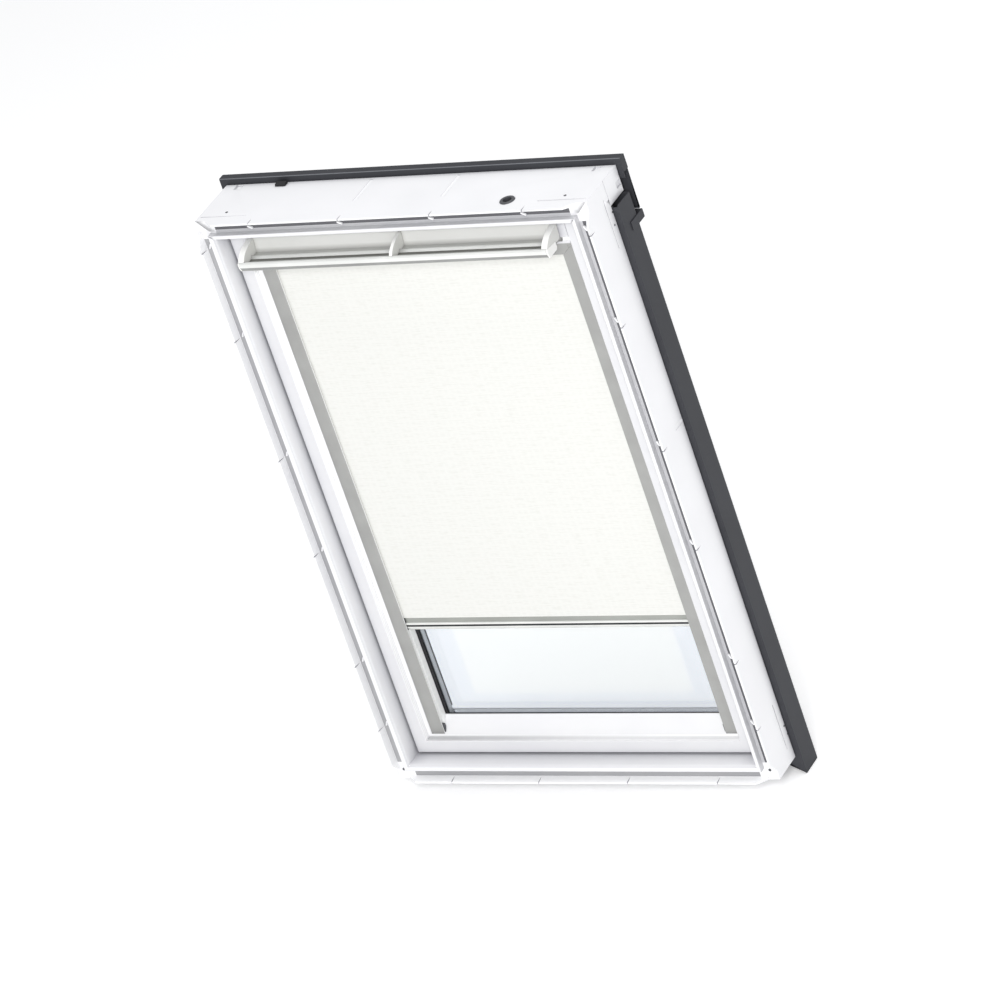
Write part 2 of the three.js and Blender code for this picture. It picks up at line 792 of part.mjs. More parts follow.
// Glazing: two panes on a spacer, with the black gasket between the inner pane and the sash
const paneHalf = sashHalf - glassRebate - glassEdgePlay;
const paneLow = sashInset + glassRebate + glassEdgePlay;
const paneHigh = sashTop - topRailRebate - glassEdgePlay;
const seenInset = glassInset + gasketShow;
const seenTop = paneHigh - (seenInset - glassRebate - glassEdgePlay);
const gasketStart = lipBack + gap;
const innerPaneStart = gasketStart + gasketThickness + gap;
const spacerStart = innerPaneStart + paneThickness + gap;
const outerPaneStart = spacerStart + spacerDepth + gap;
const pane = (start) => block(
  -paneHalf, paneHalf, start, start + paneThickness, paneLow, paneHigh,
);
const seen = [
  -sashHalf + seenInset, sashInset + glassInset + gasketShowBelow, sashHalf - seenInset, seenTop,
];
const grown = (rectangle, by) => [
  rectangle[0] - by, rectangle[1] - by, rectangle[2] + by, rectangle[3] + by,
];
piece('glazing_gasket', ring(
  [-paneHalf, paneLow, paneHalf, paneHigh], seen, gasketStart, gasketStart + gasketThickness,
), blackRubber);
piece('glass_inner', pane(innerPaneStart), glassBlue);
piece('glass_spacer', ring(
  grown(seen, spacerWidth), seen, spacerStart, spacerStart + spacerDepth,
), steel);
piece('glass_outer', pane(outerPaneStart), glassBlue);

// Cladding on the sash's weather side: a folded strip on each side, mitred at the corners. The lower
// strip stays clear of the pane, so that rain runs off it.
const claddingFoot = sashBack + gap;
const claddingTop = claddingFoot + claddingRise + claddingTurn;
const claddingGlass = outerPaneStart + paneThickness + gap;
const claddingSection = (flat, reach, dip, edge) => [
  [claddingEdge, claddingFoot],
  [claddingEdge, claddingFoot + claddingRise],
  [claddingEdge + claddingTurn, claddingTop],
  [flat, claddingTop],
  [reach, claddingTop - dip],
  [reach, edge],
  [reach - sheet, edge],
  [reach - sheet, claddingTop - dip - sheet],
  [flat - sheet, claddingTop - sheet],
  [claddingEdge + claddingTurn + sheet, claddingTop - sheet],
  [claddingEdge + sheet, claddingFoot + claddingRise - sheet / 2],
  [claddingEdge + sheet, claddingFoot],
];
const overPane = claddingSection(claddingFlat, claddingReach, claddingDip, claddingGlass);
const belowPane = claddingSection(claddingFlatBelow, claddingReachBelow, claddingDipBelow, claddingFoot);
for (const [side, name, section, length] of [
  ['left', 'left', overPane, sashHeight],
  ['right', 'right', overPane, sashHeight],
  ['sill', 'bottom', belowPane, sashWidth],
  ['head', 'top', overPane, sashWidth],
]) {
  piece(`sash_cladding_${name}`, onSide(
    member(section, length, true, true), side, sashWidth, sashHeight, sashInset,
  ), darkMetal);
}

// Pivot hinge: a pin on each stile turns in the bush of the plate on the jamb.
const plateOuter = openingHalf - gap;
const plateInner = plateOuter - hingePlateThickness;
for (const [word, side] of mirrored) {
  const halfPlate = hingePlateWidth / 2;
  const rise = hingePlateHeight / 2;
  const plate = run(corners(
    pivotDepth - halfPlate, centre - rise, pivotDepth + halfPlate, centre + rise,
  ), 'x', ...span(side, plateInner, plateOuter));
  const bush = turned([[0, plateInner], [bushRadius, plateInner],
    [bushRadius, openingHalf + bushDepth], [0, openingHalf + bushDepth]], side, pivotDepth, centre);
  const bushBore = pinRadius + bushPlay;
  const bore = turned([[0, plateInner - overrun], [bushBore, plateInner - overrun],
    [bushBore, openingHalf + bushDepth + overrun], [0, openingHalf + bushDepth + overrun]],
  side, pivotDepth, centre);
  piece(`hinge_plate_${word}`, cut(join(plate, bush), bore), steel);

  const flange = sashHalf + gap;
  piece(`pivot_pin_${word}`, turned([
    [0, sashHalf - shankLength],
    [shankRadius, sashHalf - shankLength],
    [shankRadius, flange],
    [pinFlangeRadius, flange],
    [pinFlangeRadius, flange + pinFlangeThickness],
    [pinRadius, flange + pinFlangeThickness],
    [pinRadius, openingHalf + bushDepth - platePlay],
    [0, openingHalf + bushDepth - platePlay],
  ], side, pivotDepth, centre), steel);
}

// Ventilation flap: a cove-shaped panel with a shelf in front, hung by the rib along its lower back edge
const flapHalf = sashHalf - barFromEnd;
const flapTop = sashTop - flapFromSashTop;
const flapBackDepth = sashFace - flapPlay;
const coveTopDepth = flapBackDepth - flapThickness;
const coveBottomDepth = flapBackDepth - coveDepth;
const coveBelly = barTop + coveBellyRise;
const coveBottom = barTop - coveBottomDrop;
const flapFloor = barTop - flapFloorDrop;
const flapFloorFront = coveBottomDepth - flapFloorDepth;
const flapNeck = barTop - flapNeckDrop;
const flapPanel = run([
  [flapBackDepth, flapTop],
  [coveTopDepth, flapTop],
  [coveTopDepth, coveBelly, coveBottomDepth, coveBottom],
  [coveBottomDepth, flapFloor],
  [flapFloorFront, flapFloor],
  [flapFloorFront, flapFloor - flapFloorThickness],
  [flapAxisDepth - ribRadius, flapNeck],
  [flapBackDepth, flapNeck],
], 'x', -flapHalf, flapHalf);
const flapRib = turned(
  [[0, -flapHalf], [ribRadius, -flapHalf], [ribRadius, flapHalf], [0, flapHalf]],
  1, flapAxisDepth, flapAxisHeight,
);
piece('vent_flap', join(flapPanel, flapRib), warmWhite);

// Control bar: an extruded grip with a finger channel along its top
const barHeelDepth = flapFloorFront - barBeforeFloor;
const barNoseDepth = barHeelDepth - barDepth;
const barRidgeDepth = barNoseDepth + barRidgeBehind;
const barRidgeStart = barNoseDepth + barRidgeBehind / 2;
const barNoseTop = barTop - barNoseTopDrop;
const barBottom = barTop - barHeight;
const barBackRidge = barTop - barBackRidgeDrop;
const barChannel = [barNoseDepth + barChannelBehind, barTop - barChannelDrop];
const barSection = [
  [barRidgeStart, barTop],
  [barNoseDepth, barTop, barNoseDepth, barNoseTop],
  [barNoseDepth, barNoseTop - barNoseHeight],
  [barNoseDepth + barUnderBehind, barBottom],
  [barHeelDepth - barBackRidgeWidth, barBottom],
  [barHeelDepth, barBottom + barHeelHeight],
  [barHeelDepth, barBackRidge],
  [barHeelDepth - barBackRidgeWidth, barBackRidge],
  [...barChannel, barRidgeDepth, barTop],
];
piece('control_bar', run(barSection, 'x', -flapHalf, flapHalf), silver);
for (const [word, side] of mirrored) {
  piece(`bar_end_cap_${word}`, run(
    barSection, 'x', ...span(side, flapHalf + gap, flapHalf + gap + barCap),
  ), warmWhite);
}

// Arms that carry the bar: arched plates between the cove and the bar's two ridges
const armBack = coveTopDepth - gap;
const armTop = flapTop - armFromFlapTop;
const armSection = [
  [armBack, armTop],
  [armBack, coveBelly, coveBottomDepth - gap, coveBottom],
  [coveBottomDepth - gap, flapFloor + gap],
  [flapFloorFront, flapFloor + gap],
  [barHeelDepth, barBackRidge + gap],
  [barHeelDepth - barBackRidgeWidth, barBackRidge + gap],
  [barChannel[0], barChannel[1] + 2 * gap, barRidgeDepth, barTop + gap],
  [barRidgeStart, barTop + gap],
  [
    (barRidgeStart + armBack) / 2 - armBulge * (armBack - barRidgeStart),
    (barTop + armTop) / 2 + armBulge * (armTop - barTop),
    armBack, armTop,
  ],
];
const armSpans = {
  left: [-flapHalf, armThickness - flapHalf],
  middle: [-middleArmThickness / 2, middleArmThickness / 2],
  right: [flapHalf - armThickness, flapHalf],
};
for (const [word, [from, to]] of Object.entries(armSpans)) {
  piece(`bar_arm_${word}`, run(armSection, 'x', from, to), whiteSash);
}

// Filter strip in the vent notch
const filterHalf = ventNotchHalf - filterShort;
piece('vent_filter', block(
  -filterHalf, filterHalf, ventNotchBack - gap - filterThickness, ventNotchBack - gap,
  sashTop - ventNotchHeight + gap, sashTop - ventNotchHeight + gap + filterHeight,
), plasticGrey);

// Latch: a case in the top rail with a tongue that the control bar draws down
const tongueTop = sashTop + tongueRise;
const tongueLength = tongueRise + latchDeep - tongueTravel - tongueFloor - gap;
const tongueChannel = block(
  -tongueHalf - gap, tongueHalf + gap, tongueFront - gap, tongueBack + gap,
  tongueTop - tongueLength - tongueTravel - gap, sashTop + overrun,
);
piece('latch_case', cut(
  block(-latchHalf, latchHalf, latchFront, latchBack, sashTop - latchDeep, sashTop - gap), tongueChannel,
), steel);
piece('latch_tongue', run([
  [tongueFront, tongueTop - tongueLength],
  [tongueBack, tongueTop - tongueLength],
  [tongueBack, tongueTop - tongueRound],
  [tongueBack, tongueTop, tongueBack - tongueRound, tongueTop],
  [tongueFront, tongueTop],
], 'x', -tongueHalf, tongueHalf), steel);

// Blind rails: they fill the sash's bevel, and hold the cloth and the bar's glides in a slot.
// Only the front flange rises to the mitre, and the rest stops below the cassette.
const railInner = sashHalf - glassInset - railOverTip;
const railOuter = railInner + railWidth;
const railFront = bevelDepth + railBehindBevelStart;
const slotFront = railFront + railFrontWall;
const slotBack = slotFront + railSlot;
const slotEnd = railInner + railSlotReach;
const bevelAt = (x) => bevelDepth + (sashHalf - bevelInset - x) * bevelSlope;
const bottomBevelAt = (depth) => sashInset + bevelInset + (depth - bevelDepth) / bevelSlope;
const mitreAt = (x) => cassetteBottom + (x - railInner) * mitreRise / railWidth;
const railSection = [
  [railInner, railFront],
  [railOuter, railFront],
  [railOuter, bevelAt(railOuter) - gap],
  [railInner, bevelAt(railInner) - gap],
  [railInner, slotBack],
  [slotEnd, slotBack],
  [slotEnd, slotFront],
  [railInner, slotFront],
];

function rail(side) {
  const bar = run(railSection.map(([x, y]) => [side * x, y]), 'z', 0, frameHeight);
  const position = bar.getAttribute('position');
  for (let i = 0; i < position.count; i += 1) {
    const low = position.getZ(i) < centre;
    const across = Math.abs(position.getX(i));
    position.setZ(i, low ? bottomBevelAt(position.getY(i)) + gap : mitreAt(across) - gap);
  }
  return cut(bar, block(
    ...span(side, railInner - overrun, railOuter + overrun), slotFront, lipBack,
    cassetteBottom - gap, cassetteTop,
  ));
}
for (const [word, side] of mirrored) piece(`blind_rail_${word}`, rail(side), aluminium);

// Cassette: an open box section whose lower corners are mitred to the rails
const cassetteBack = lipBack - gap;
const underMitre = (side) => run([
  [side * (railInner - gap), cassetteBottom - overrun],
  [side * (railInner - gap), mitreAt(railInner)],
  [side * (railOuter + overrun), mitreAt(railOuter + overrun)],
  [side * (railOuter + overrun), cassetteBottom - overrun],
], 'y', railFront - overrun, cassetteBack + overrun);
const cassetteEnd = slotEnd - gap;
const cassetteFloor = cassetteBottom + gap;
const cassetteMouthBack = railFront + cassetteWall + cassetteMouth;
piece('blind_cassette', cut(run([
  [railFront, cassetteBottom],
  [railFront, cassetteTop],
  [cassetteBack, cassetteTop],
  [cassetteBack, cassetteFloor],
  [cassetteMouthBack, cassetteFloor],
  [cassetteMouthBack, cassetteFloor + cassetteWall],
  [cassetteBack - cassetteWall, cassetteFloor + cassetteWall],
  [cassetteBack - cassetteWall, cassetteTop - cassetteWall],
  [railFront + cassetteWall, cassetteTop - cassetteWall],
  [railFront + cassetteWall, cassetteBottom],
], 'x', -cassetteEnd, cassetteEnd), underMitre(-1), underMitre(1)), aluminium);

const rollerRadius = tubeRadius + gap + woundThickness;
const rollerDepth = cassetteBack - cassetteWall - rollerRadius - rollerBehind;
const rollerHeight = cassetteTop - cassetteWall - rollerRadius - rollerAbove;
for (const [word, side] of mirrored) {
  const plate = run(corners(
    railFront, cassetteBottom, cassetteBack, cassetteTop,
  ), 'x', ...span(side, cassetteEnd + gap, railOuter));
  const bore = turned([
    [0, cassetteEnd - overrun],
    [plugPin + gap, cassetteEnd - overrun],
    [plugPin + gap, cassetteEnd + plugPinLength + gap],
    [0, cassetteEnd + plugPinLength + gap],
  ], side, rollerDepth, rollerHeight);
  piece(`cassette_end_${word}`, cut(plate, underMitre(side), bore), plasticGrey);
}

// Roller: tube with the wound cloth on it, a plug with a pin at each end and the spring motor inside
const tubeHalf = cassetteEnd - tubeEndPlay;
const clothHalf = slotEnd - clothEdgePlay;
const sleeve = (outer, inner, half) => turned(
  [[inner, -half], [outer, -half], [outer, half], [inner, half], [inner, -half]],
  1, rollerDepth, rollerHeight,
);
piece('roller_tube', sleeve(tubeRadius, tubeRadius - tubeWall, tubeHalf), aluminium);
piece('wound_cloth', sleeve(rollerRadius, tubeRadius + gap, clothHalf - overrun), clothWhite);
for (const [word, side] of mirrored) {
  piece(`roller_plug_${word}`, turned([
    [0, tubeHalf - plugLength],
    [tubeRadius - tubeWall - gap, tubeHalf - plugLength],
    [tubeRadius - tubeWall - gap, tubeHalf + gap],
    [tubeRadius, tubeHalf + gap],
    [tubeRadius, tubeHalf + cover],
    [plugPin, tubeHalf + cover],
    [plugPin, cassetteEnd + plugPinLength],
    [0, cassetteEnd + plugPinLength],
  ], side, rollerDepth, rollerHeight), plasticGrey);
}
const springRadius = tubeRadius - tubeWall - gap;
piece('spring_motor', turned([
  [0, springStart],
  [springRadius, springStart],
  [springRadius, springStart + springLength],
  [0, springStart + springLength],
], -1, rollerDepth, rollerHeight).translate(-plugLength, 0, 0), steel);

// Bottom bar: two ridges along its front, a glide at each end that runs in the rail's slot
const bottomBarFront = slotFront + bottomBarBeforeSlot;
const bottomBarBack = bottomBarFront + bottomBarThickness;
const lowestBase = bottomBevelAt(bottomBarBack) + bottomBarAboveBevel;
const highestBase = cassetteBottom - bottomBarBelowCassette - bottomBarHeight;
const barBase = lowestBase + blindRaisedShare * (highestBase - lowestBase);
const barAt = (share) => barBase + bottomBarHeight * share;
const shelfDepth = bottomBarFront + bottomBarShelf;
piece('bottom_bar', run([
  [bottomBarBack, barBase],
  [shelfDepth, barBase],
  [bottomBarFront, barAt(lowRidgeEndShare)],
  [bottomBarFront, barAt(lowRidgeShare)],
  [bottomBarFront + bottomBarGroove, barAt(grooveEndShare)],
  [bottomBarFront + bottomBarGroove, barAt(ridgeTopEndShare) - bottomBarGroove / 2],
  [bottomBarFront, barAt(ridgeTopEndShare)],
  [bottomBarFront, barAt(ridgeTopShare)],
  [shelfDepth - bottomBarGroove / 2, barAt(ridgeTopShare) + bottomBarGroove / 2],
  [shelfDepth, barAt(1)],
  [bottomBarBack - bottomBarGroove, barAt(1)],
  [bottomBarBack, barAt(1) - bottomBarGroove],
], 'x', -railInner + gap, railInner - gap), silver);
for (const [word, side] of mirrored) {
  piece(`bar_glide_${word}`, block(
    ...span(side, railInner, slotEnd - glideEndPlay), slotFront + glidePlay, slotBack - glidePlay,
    barBase, barAt(1),
  ), plasticGrey);
}

// Stops that close the lower ends of the rails' slots
for (const [word, side] of mirrored) {
  const stopTop = lowestBase - gap;
  const stop = run([
    [side * (railInner - stopProud), slotFront + gap],
    [side * (slotEnd - gap), slotFront + gap],
    [side * (slotEnd - gap), slotBack - gap],
    [side * (railInner - stopProud), slotBack - gap],
  ], 'z', 0, stopTop);
  const position = stop.getAttribute('position');
  for (let i = 0; i < position.count; i += 1) {
    if (position.getZ(i) < stopTop / 2) position.setZ(i, bottomBevelAt(position.getY(i)) + 2 * gap);
  }
  piece(`rail_stop_${word}`, stop, plasticGrey);
}

// The cloth hangs in the slots from the roller to the bottom bar.
const clothDepth = rollerDepth - rollerRadius - gap - clothThickness;
piece('blind_cloth', block(
  -clothHalf, clothHalf, clothDepth, clothDepth + clothThickness, barAt(1) + gap, rollerHeight,
), clothWhite);

roofWindow.position.y = -rebateDepth / 2;

export default roofWindow;
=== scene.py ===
"""Centre-pivot roof window with a roller blind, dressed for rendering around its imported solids."""

import math

import bmesh
import bpy
from mathutils import Matrix, Vector


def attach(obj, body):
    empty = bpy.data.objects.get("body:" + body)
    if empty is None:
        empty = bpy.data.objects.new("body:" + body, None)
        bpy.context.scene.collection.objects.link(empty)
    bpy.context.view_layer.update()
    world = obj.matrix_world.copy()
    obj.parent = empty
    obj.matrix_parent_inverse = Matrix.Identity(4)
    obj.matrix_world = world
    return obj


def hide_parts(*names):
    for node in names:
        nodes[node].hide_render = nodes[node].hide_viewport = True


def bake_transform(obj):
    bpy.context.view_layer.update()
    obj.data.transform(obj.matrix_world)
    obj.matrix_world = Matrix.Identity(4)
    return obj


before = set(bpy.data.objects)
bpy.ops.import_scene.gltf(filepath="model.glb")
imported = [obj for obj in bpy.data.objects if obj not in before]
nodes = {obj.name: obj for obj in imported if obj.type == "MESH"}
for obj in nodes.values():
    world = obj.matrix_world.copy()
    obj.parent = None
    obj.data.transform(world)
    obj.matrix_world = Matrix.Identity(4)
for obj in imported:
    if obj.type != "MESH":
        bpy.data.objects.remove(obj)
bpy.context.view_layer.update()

# Studio: a pale floor under the window, soft light from all round, a soft box above the camera's
# left shoulder and a larger one overhead. The camera stands where the photograph's did, rolled as
# it was.
FLOOR_HEIGHT = -0.0371
FLOOR_SIZE = 30


def linear(code):
    """The linear colour of an sRGB hex value."""
    channels = [int(code[i : i + 2], 16) / 255 for i in (1, 3, 5)]
    return [c / 12.92 if c <= 0.04045 else ((c + 0.055) / 1.055) ** 2.4 for c in channels] + [1]


def material(name, colour, **settings):
    """A new material on the standard shader, with its settings by socket name, and the shader."""
    made = bpy.data.materials.new(name)
    made.use_nodes = True
    shader = made.node_tree.nodes["Principled BSDF"]
    shader.inputs["Base Color"].default_value = linear(colour)
    for socket, value in settings.items():
        shader.inputs[socket.replace("_", " ")].default_value = value
    return made, shader


def node(made, kind, settings=None, terms=(), **links):
    """Adds a shader node.

    Settings go by property, or by a socket's name or number. Terms are linked to the sockets in
    order, and links by a socket's name.
    """
    added = made.node_tree.nodes.new(kind)
    for key, value in (settings or {}).items():
        if isinstance(key, int) or key in added.inputs:
            added.inputs[key].default_value = value
        else:
            setattr(added, key, value)
    for socket, source in zip(added.inputs, terms):
        made.node_tree.links.new(source, socket)
    for key, source in links.items():
        made.node_tree.links.new(source, added.inputs[key.replace("_", " ")])
    return added


floor_paint, _ = material(
    "pale_studio_floor", "#fbfbfb", Roughness=0.9, Emission_Color=(1, 1, 1, 1),
    Emission_Strength=0.2,
)
floor_mesh = bmesh.new()
bmesh.ops.create_grid(
    floor_mesh, x_segments=1, y_segments=1, size=FLOOR_SIZE / 2,
    matrix=Matrix.Translation((0, 0, FLOOR_HEIGHT)),
)
floor_data = bpy.data.meshes.new("studio_floor")
floor_mesh.to_mesh(floor_data)
floor_mesh.free()
floor = bpy.data.objects.new("studio_floor", floor_data)
floor.data.materials.append(floor_paint)
bpy.context.scene.collection.objects.link(floor)

room = bpy.data.worlds.new("studio_light")
room.use_nodes = True
room.node_tree.nodes["Background"].inputs["Color"].default_value = linear("#fcfdff")
room.node_tree.nodes["Background"].inputs["Strength"].default_value = 0.5
bpy.context.scene.world = room


def soft_box(name, place, aim, size, power):
    """A square area lamp at a place, turned towards a point."""
    lamp = bpy.data.lights.new(name, "AREA")
    lamp.shape = "SQUARE"
    lamp.size = size
    lamp.energy = power
    holder = bpy.data.objects.new(name, lamp)
    holder.location = place
    holder.rotation_euler = (Vector(aim) - Vector(place)).to_track_quat("-Z", "Y").to_euler()
    bpy.context.scene.collection.objects.link(holder)


soft_box("key_soft_box", place=(2.8, -4.6, 3.6), aim=(0, 0, 0.6), size=1.8, power=235)
soft_box("overhead_soft_box", place=(0, 1.0, 6.0), aim=(0, 1.0, 0), size=6.0, power=170)

lens = bpy.data.cameras.new("photo_camera")
lens.lens = 233.230
lens.sensor_width = 36
lens.clip_end = 100
camera = bpy.data.objects.new("photo_camera", lens)
camera.location = (5.78519, -8.15944, 5.80120)
camera.rotation_euler = [math.radians(a) for a in (61.00908, 17.15578, 26.03363)]
bpy.context.scene.collection.objects.link(camera)
bpy.context.scene.camera = camera
bpy.context.scene.view_settings.view_transform = "Standard"

# Fixed frame: four members of polyurethane foam, moulded round timber cores and lacquered white,
# that are glued and screwed together at mitred corners without a gap. Its long moulded edges are
# slightly rounded.
FRAME_HALF = 0.390
FRAME_FOOT = 0.0
FRAME_TOP = 1.178
FRAME_EDGES = (FRAME_HALF, FRAME_FOOT, FRAME_TOP)
MOULD_ROUND = 0.0009
ACROSS = (1, 0, 0)
UP = (0, 0, 1)

# A CAD node's mesh is loose triangles. In a copy of it, points nearer than MERGED become one, and
# so do faces less than FLAT_ANGLE degrees apart. Edges between ROUNDED_ANGLES, no shorter than
# SHORTEST_ROUNDED, are rounded, but for those of the mitres' faces, whose normals have more than
# MITRE_SLOPE both across and up. Edges past SHADED_SHARP degrees are shaded sharp.
MERGED = 0.00002
FLAT_ANGLE = 0.4
ROUNDED_ANGLES = (28, 150)
SHORTEST_ROUNDED = 0.025
SHADED_SHARP = 35
MITRE_GAP = 0.0006
MITRE_SLOPE = 0.6
PLANE_HIT = 1e-6

# Where a finish's first tone ends and its second starts, how open a place is when it has lost all
# of the painted shade, and how strongly the grain shows
TONE_STOPS = (0.35, 0.65)
SHADE_STOPS = (0.0, 0.92)
SHADE_SAMPLES = 8
GRAIN_STRENGTH = 0.6


def finish_coat(name, tones, gloss, grain, relief, hollow, reach=0.03, stretch=(1, 1, 1),
                patch=150, fade=None, **settings):
    """A finish: patches of two tones and two glosses, a fine grain, and painted shade near other
    surfaces.

    Patch and grain are sizes in millimetres, relief is the grain's depth in metres, and reach is
    how near another surface must stand for the painted shade to darken this one towards its shade
    colour. Stretch squeezes the grain along each axis. Fade is an axis, the places along it where a
    further painted shade starts and is full, and that shade's colour.
    """
    made, shader = material(name, tones[0], **settings)
    place = node(made, "ShaderNodeTexCoord").outputs["Object"]
    patches = node(
        made, "ShaderNodeTexNoise", {"Scale": 1000 / patch, "Detail": 3.0}, Vector=place,
    )
    tone = node(made, "ShaderNodeValToRGB", Fac=patches.outputs["Fac"])
    for stop, colour, share in zip(tone.color_ramp.elements, tones, TONE_STOPS):
        stop.color, stop.position = linear(colour), share
    # Painted shade: ambient occlusion darkens the colour towards the shade colour wherever another
    # surface stands within reach.
    depth = node(
        made, "ShaderNodeAmbientOcclusion", {"samples": SHADE_SAMPLES, "Distance": reach},
    )
    shade = node(made, "ShaderNodeValToRGB", Fac=depth.outputs["AO"])
    for stop, colour, share in zip(shade.color_ramp.elements, (hollow, "#ffffff"), SHADE_STOPS):
        stop.color, stop.position = linear(colour), share
    whole = node(
        made, "ShaderNodeMixRGB", {"blend_type": "MULTIPLY", "Fac": 1.0},
        Color1=tone.outputs["Color"], Color2=shade.outputs["Color"],
    )
    # Painted shade: a ramp along one axis darkens the colour towards the fade's colour.
    if fade:
        axis, start, end, fade_shade_colour = fade
        parts = node(made, "ShaderNodeSeparateXYZ", Vector=place)
        fade_shade_ramp = node(
            made, "ShaderNodeMapRange", {"From Min": start, "From Max": end},
            Value=parts.outputs[axis],
        )
        whole = node(
            made, "ShaderNodeMixRGB", {"blend_type": "MULTIPLY", "Color2": linear(fade_shade_colour)},
            Fac=fade_shade_ramp.outputs["Result"], Color1=whole.outputs["Color"],
        )
    made.node_tree.links.new(whole.outputs["Color"], shader.inputs["Base Color"])
    sheen = node(
        made, "ShaderNodeMapRange", {"To Min": gloss[0], "To Max": gloss[1]},
        Value=patches.outputs["Fac"],
    )
    made.node_tree.links.new(sheen.outputs["Result"], shader.inputs["Roughness"])
    along = node(made, "ShaderNodeMapping", {"Scale": stretch}, Vector=place)
    fine = node(
        made, "ShaderNodeTexNoise", {"Scale": 1000 / grain, "Detail": 2.0},
        Vector=along.outputs["Vector"],
    )
    raised = node(
        made, "ShaderNodeBump", {"Strength": GRAIN_STRENGTH, "Distance": relief},
        Height=fine.outputs["Fac"],
    )
    made.node_tree.links.new(raised.outputs["Normal"], shader.inputs["Normal"])
    return made


def placed(name, shape, finishes, body):
    """An object of a finished mesh, smooth but for its sharp edges, that rides on a body."""
    mesh = bpy.data.meshes.new(name)
    shape.to_mesh(mesh)
    shape.free()
    for finish in finishes:
        mesh.materials.append(finish)
    mesh.shade_smooth()
    mesh.set_sharp_from_angle(angle=math.radians(SHADED_SHARP))
    piece = bpy.data.objects.new(name, mesh)
    bpy.context.scene.collection.objects.link(piece)
    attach(piece, body)
    return piece


def merge_flat(shape):
    """Makes one face of each flat patch of triangles."""
    bmesh.ops.dissolve_limit(
        shape, angle_limit=math.radians(FLAT_ANGLE), verts=shape.verts, edges=shape.edges,
        use_dissolve_boundaries=False,
    )


def worked(name, source, finishes, body, edge_round, mitre=None, which=None, cuts=()):
    """A copy of a CAD node with its long edges rounded and its mitres closed, in the node's place.

    Mitre gives the half width, foot and top of the square that the member's corners meet on, and
    which gives the number of a face's finish from its normal and its middle. Cuts are points and
    directions of planes that part faces where the finish changes.
    """
    shape = bmesh.new()
    shape.from_mesh(nodes[source].data)
    bmesh.ops.remove_doubles(shape, verts=shape.verts, dist=MERGED)
    merge_flat(shape)
    upright = nodes[source].dimensions.z > nodes[source].dimensions.x
    if mitre:
        half, foot, top = mitre
        for vertex in shape.verts:
            side, x, z = math.copysign(1, vertex.co.x), abs(vertex.co.x), vertex.co.z
            corners = ((foot + half - x, foot + half - z), (top - half + x, z - top + half))
            for height, reach in corners:
                if abs(z - height) < MITRE_GAP and upright:
                    vertex.co.z = height
                elif abs(z - height) < MITRE_GAP:
                    vertex.co.x = side * reach
    for point, way in cuts:
        bmesh.ops.bisect_plane(
            shape, geom=[*shape.verts, *shape.edges, *shape.faces], dist=PLANE_HIT,
            plane_co=point, plane_no=way,
        )
    shape.normal_update()
    ends = {
        face for face in shape.faces
        if mitre and min(abs(face.normal.x), abs(face.normal.z)) > MITRE_SLOPE
    }
    least, most = map(math.radians, ROUNDED_ANGLES)
    rounded = [
        edge for edge in shape.edges
        if edge.is_manifold and edge.calc_length() >= SHORTEST_ROUNDED
        and least < edge.calc_face_angle() < most
        and not ends.intersection(edge.link_faces)
    ]
    bmesh.ops.bevel(
        shape, geom=rounded, offset=edge_round, offset_type="OFFSET", segments=2, profile=0.5,
        affect="EDGES", clamp_overlap=False, material=-1,
    )
    shape.normal_update()
    for face in shape.faces:
        face.material_index = which(face.normal, face.calc_center_median()) if which else 0
    piece = placed(name, shape, finishes, body)
    piece.modifiers.new("even_shading", "WEIGHTED_NORMAL").keep_sharp = True
    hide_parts(source)
    return piece


# Polyurethane lacquer, sprayed: a satin white with a cool cast and a barely visible orange peel.
# The peel is drawn at 3 mm, about twice its real size, to show at all.
PEEL = dict(gloss=(0.34, 0.42), grain=3.0, relief=0.00003, IOR=1.5)
lacquer = finish_coat(
    "sprayed_polyurethane_lacquer", ("#e5e5e7", "#e9e9eb"), hollow="#a4a4aa", reach=0.03, **PEEL,
)
# The lips are painted brighter, as lit, and the reveals darker, as shaded: lit and shaded copies of
# the same lacquer. On the sill, the lip is painted brighter still and the reveal less shaded.
lip_lacquer_painted_lit = finish_coat(
    "lacquer_on_the_outer_lip_painted_lit", ("#ebebed", "#eeeeef"), hollow="#d8d8da", reach=0.004, **PEEL,
)
reveal_lacquer_painted_shade = finish_coat(
    "lacquer_in_the_reveal_painted_shade", ("#d4d4d7", "#d8d8da"), hollow="#cfcfd3", reach=0.03, **PEEL,
)
sill_lip_painted_lit = finish_coat(
    "lacquer_on_the_sill_lip_painted_lit", ("#fdfdfe", "#fefeff"), hollow="#fafafb", reach=0.004, **PEEL,
)
sill_reveal_painted_shade = finish_coat(
    "lacquer_in_the_sill_reveal_painted_shade", ("#e0e0e3", "#e4e4e6"), hollow="#bcbcc2", reach=0.035, **PEEL,
)
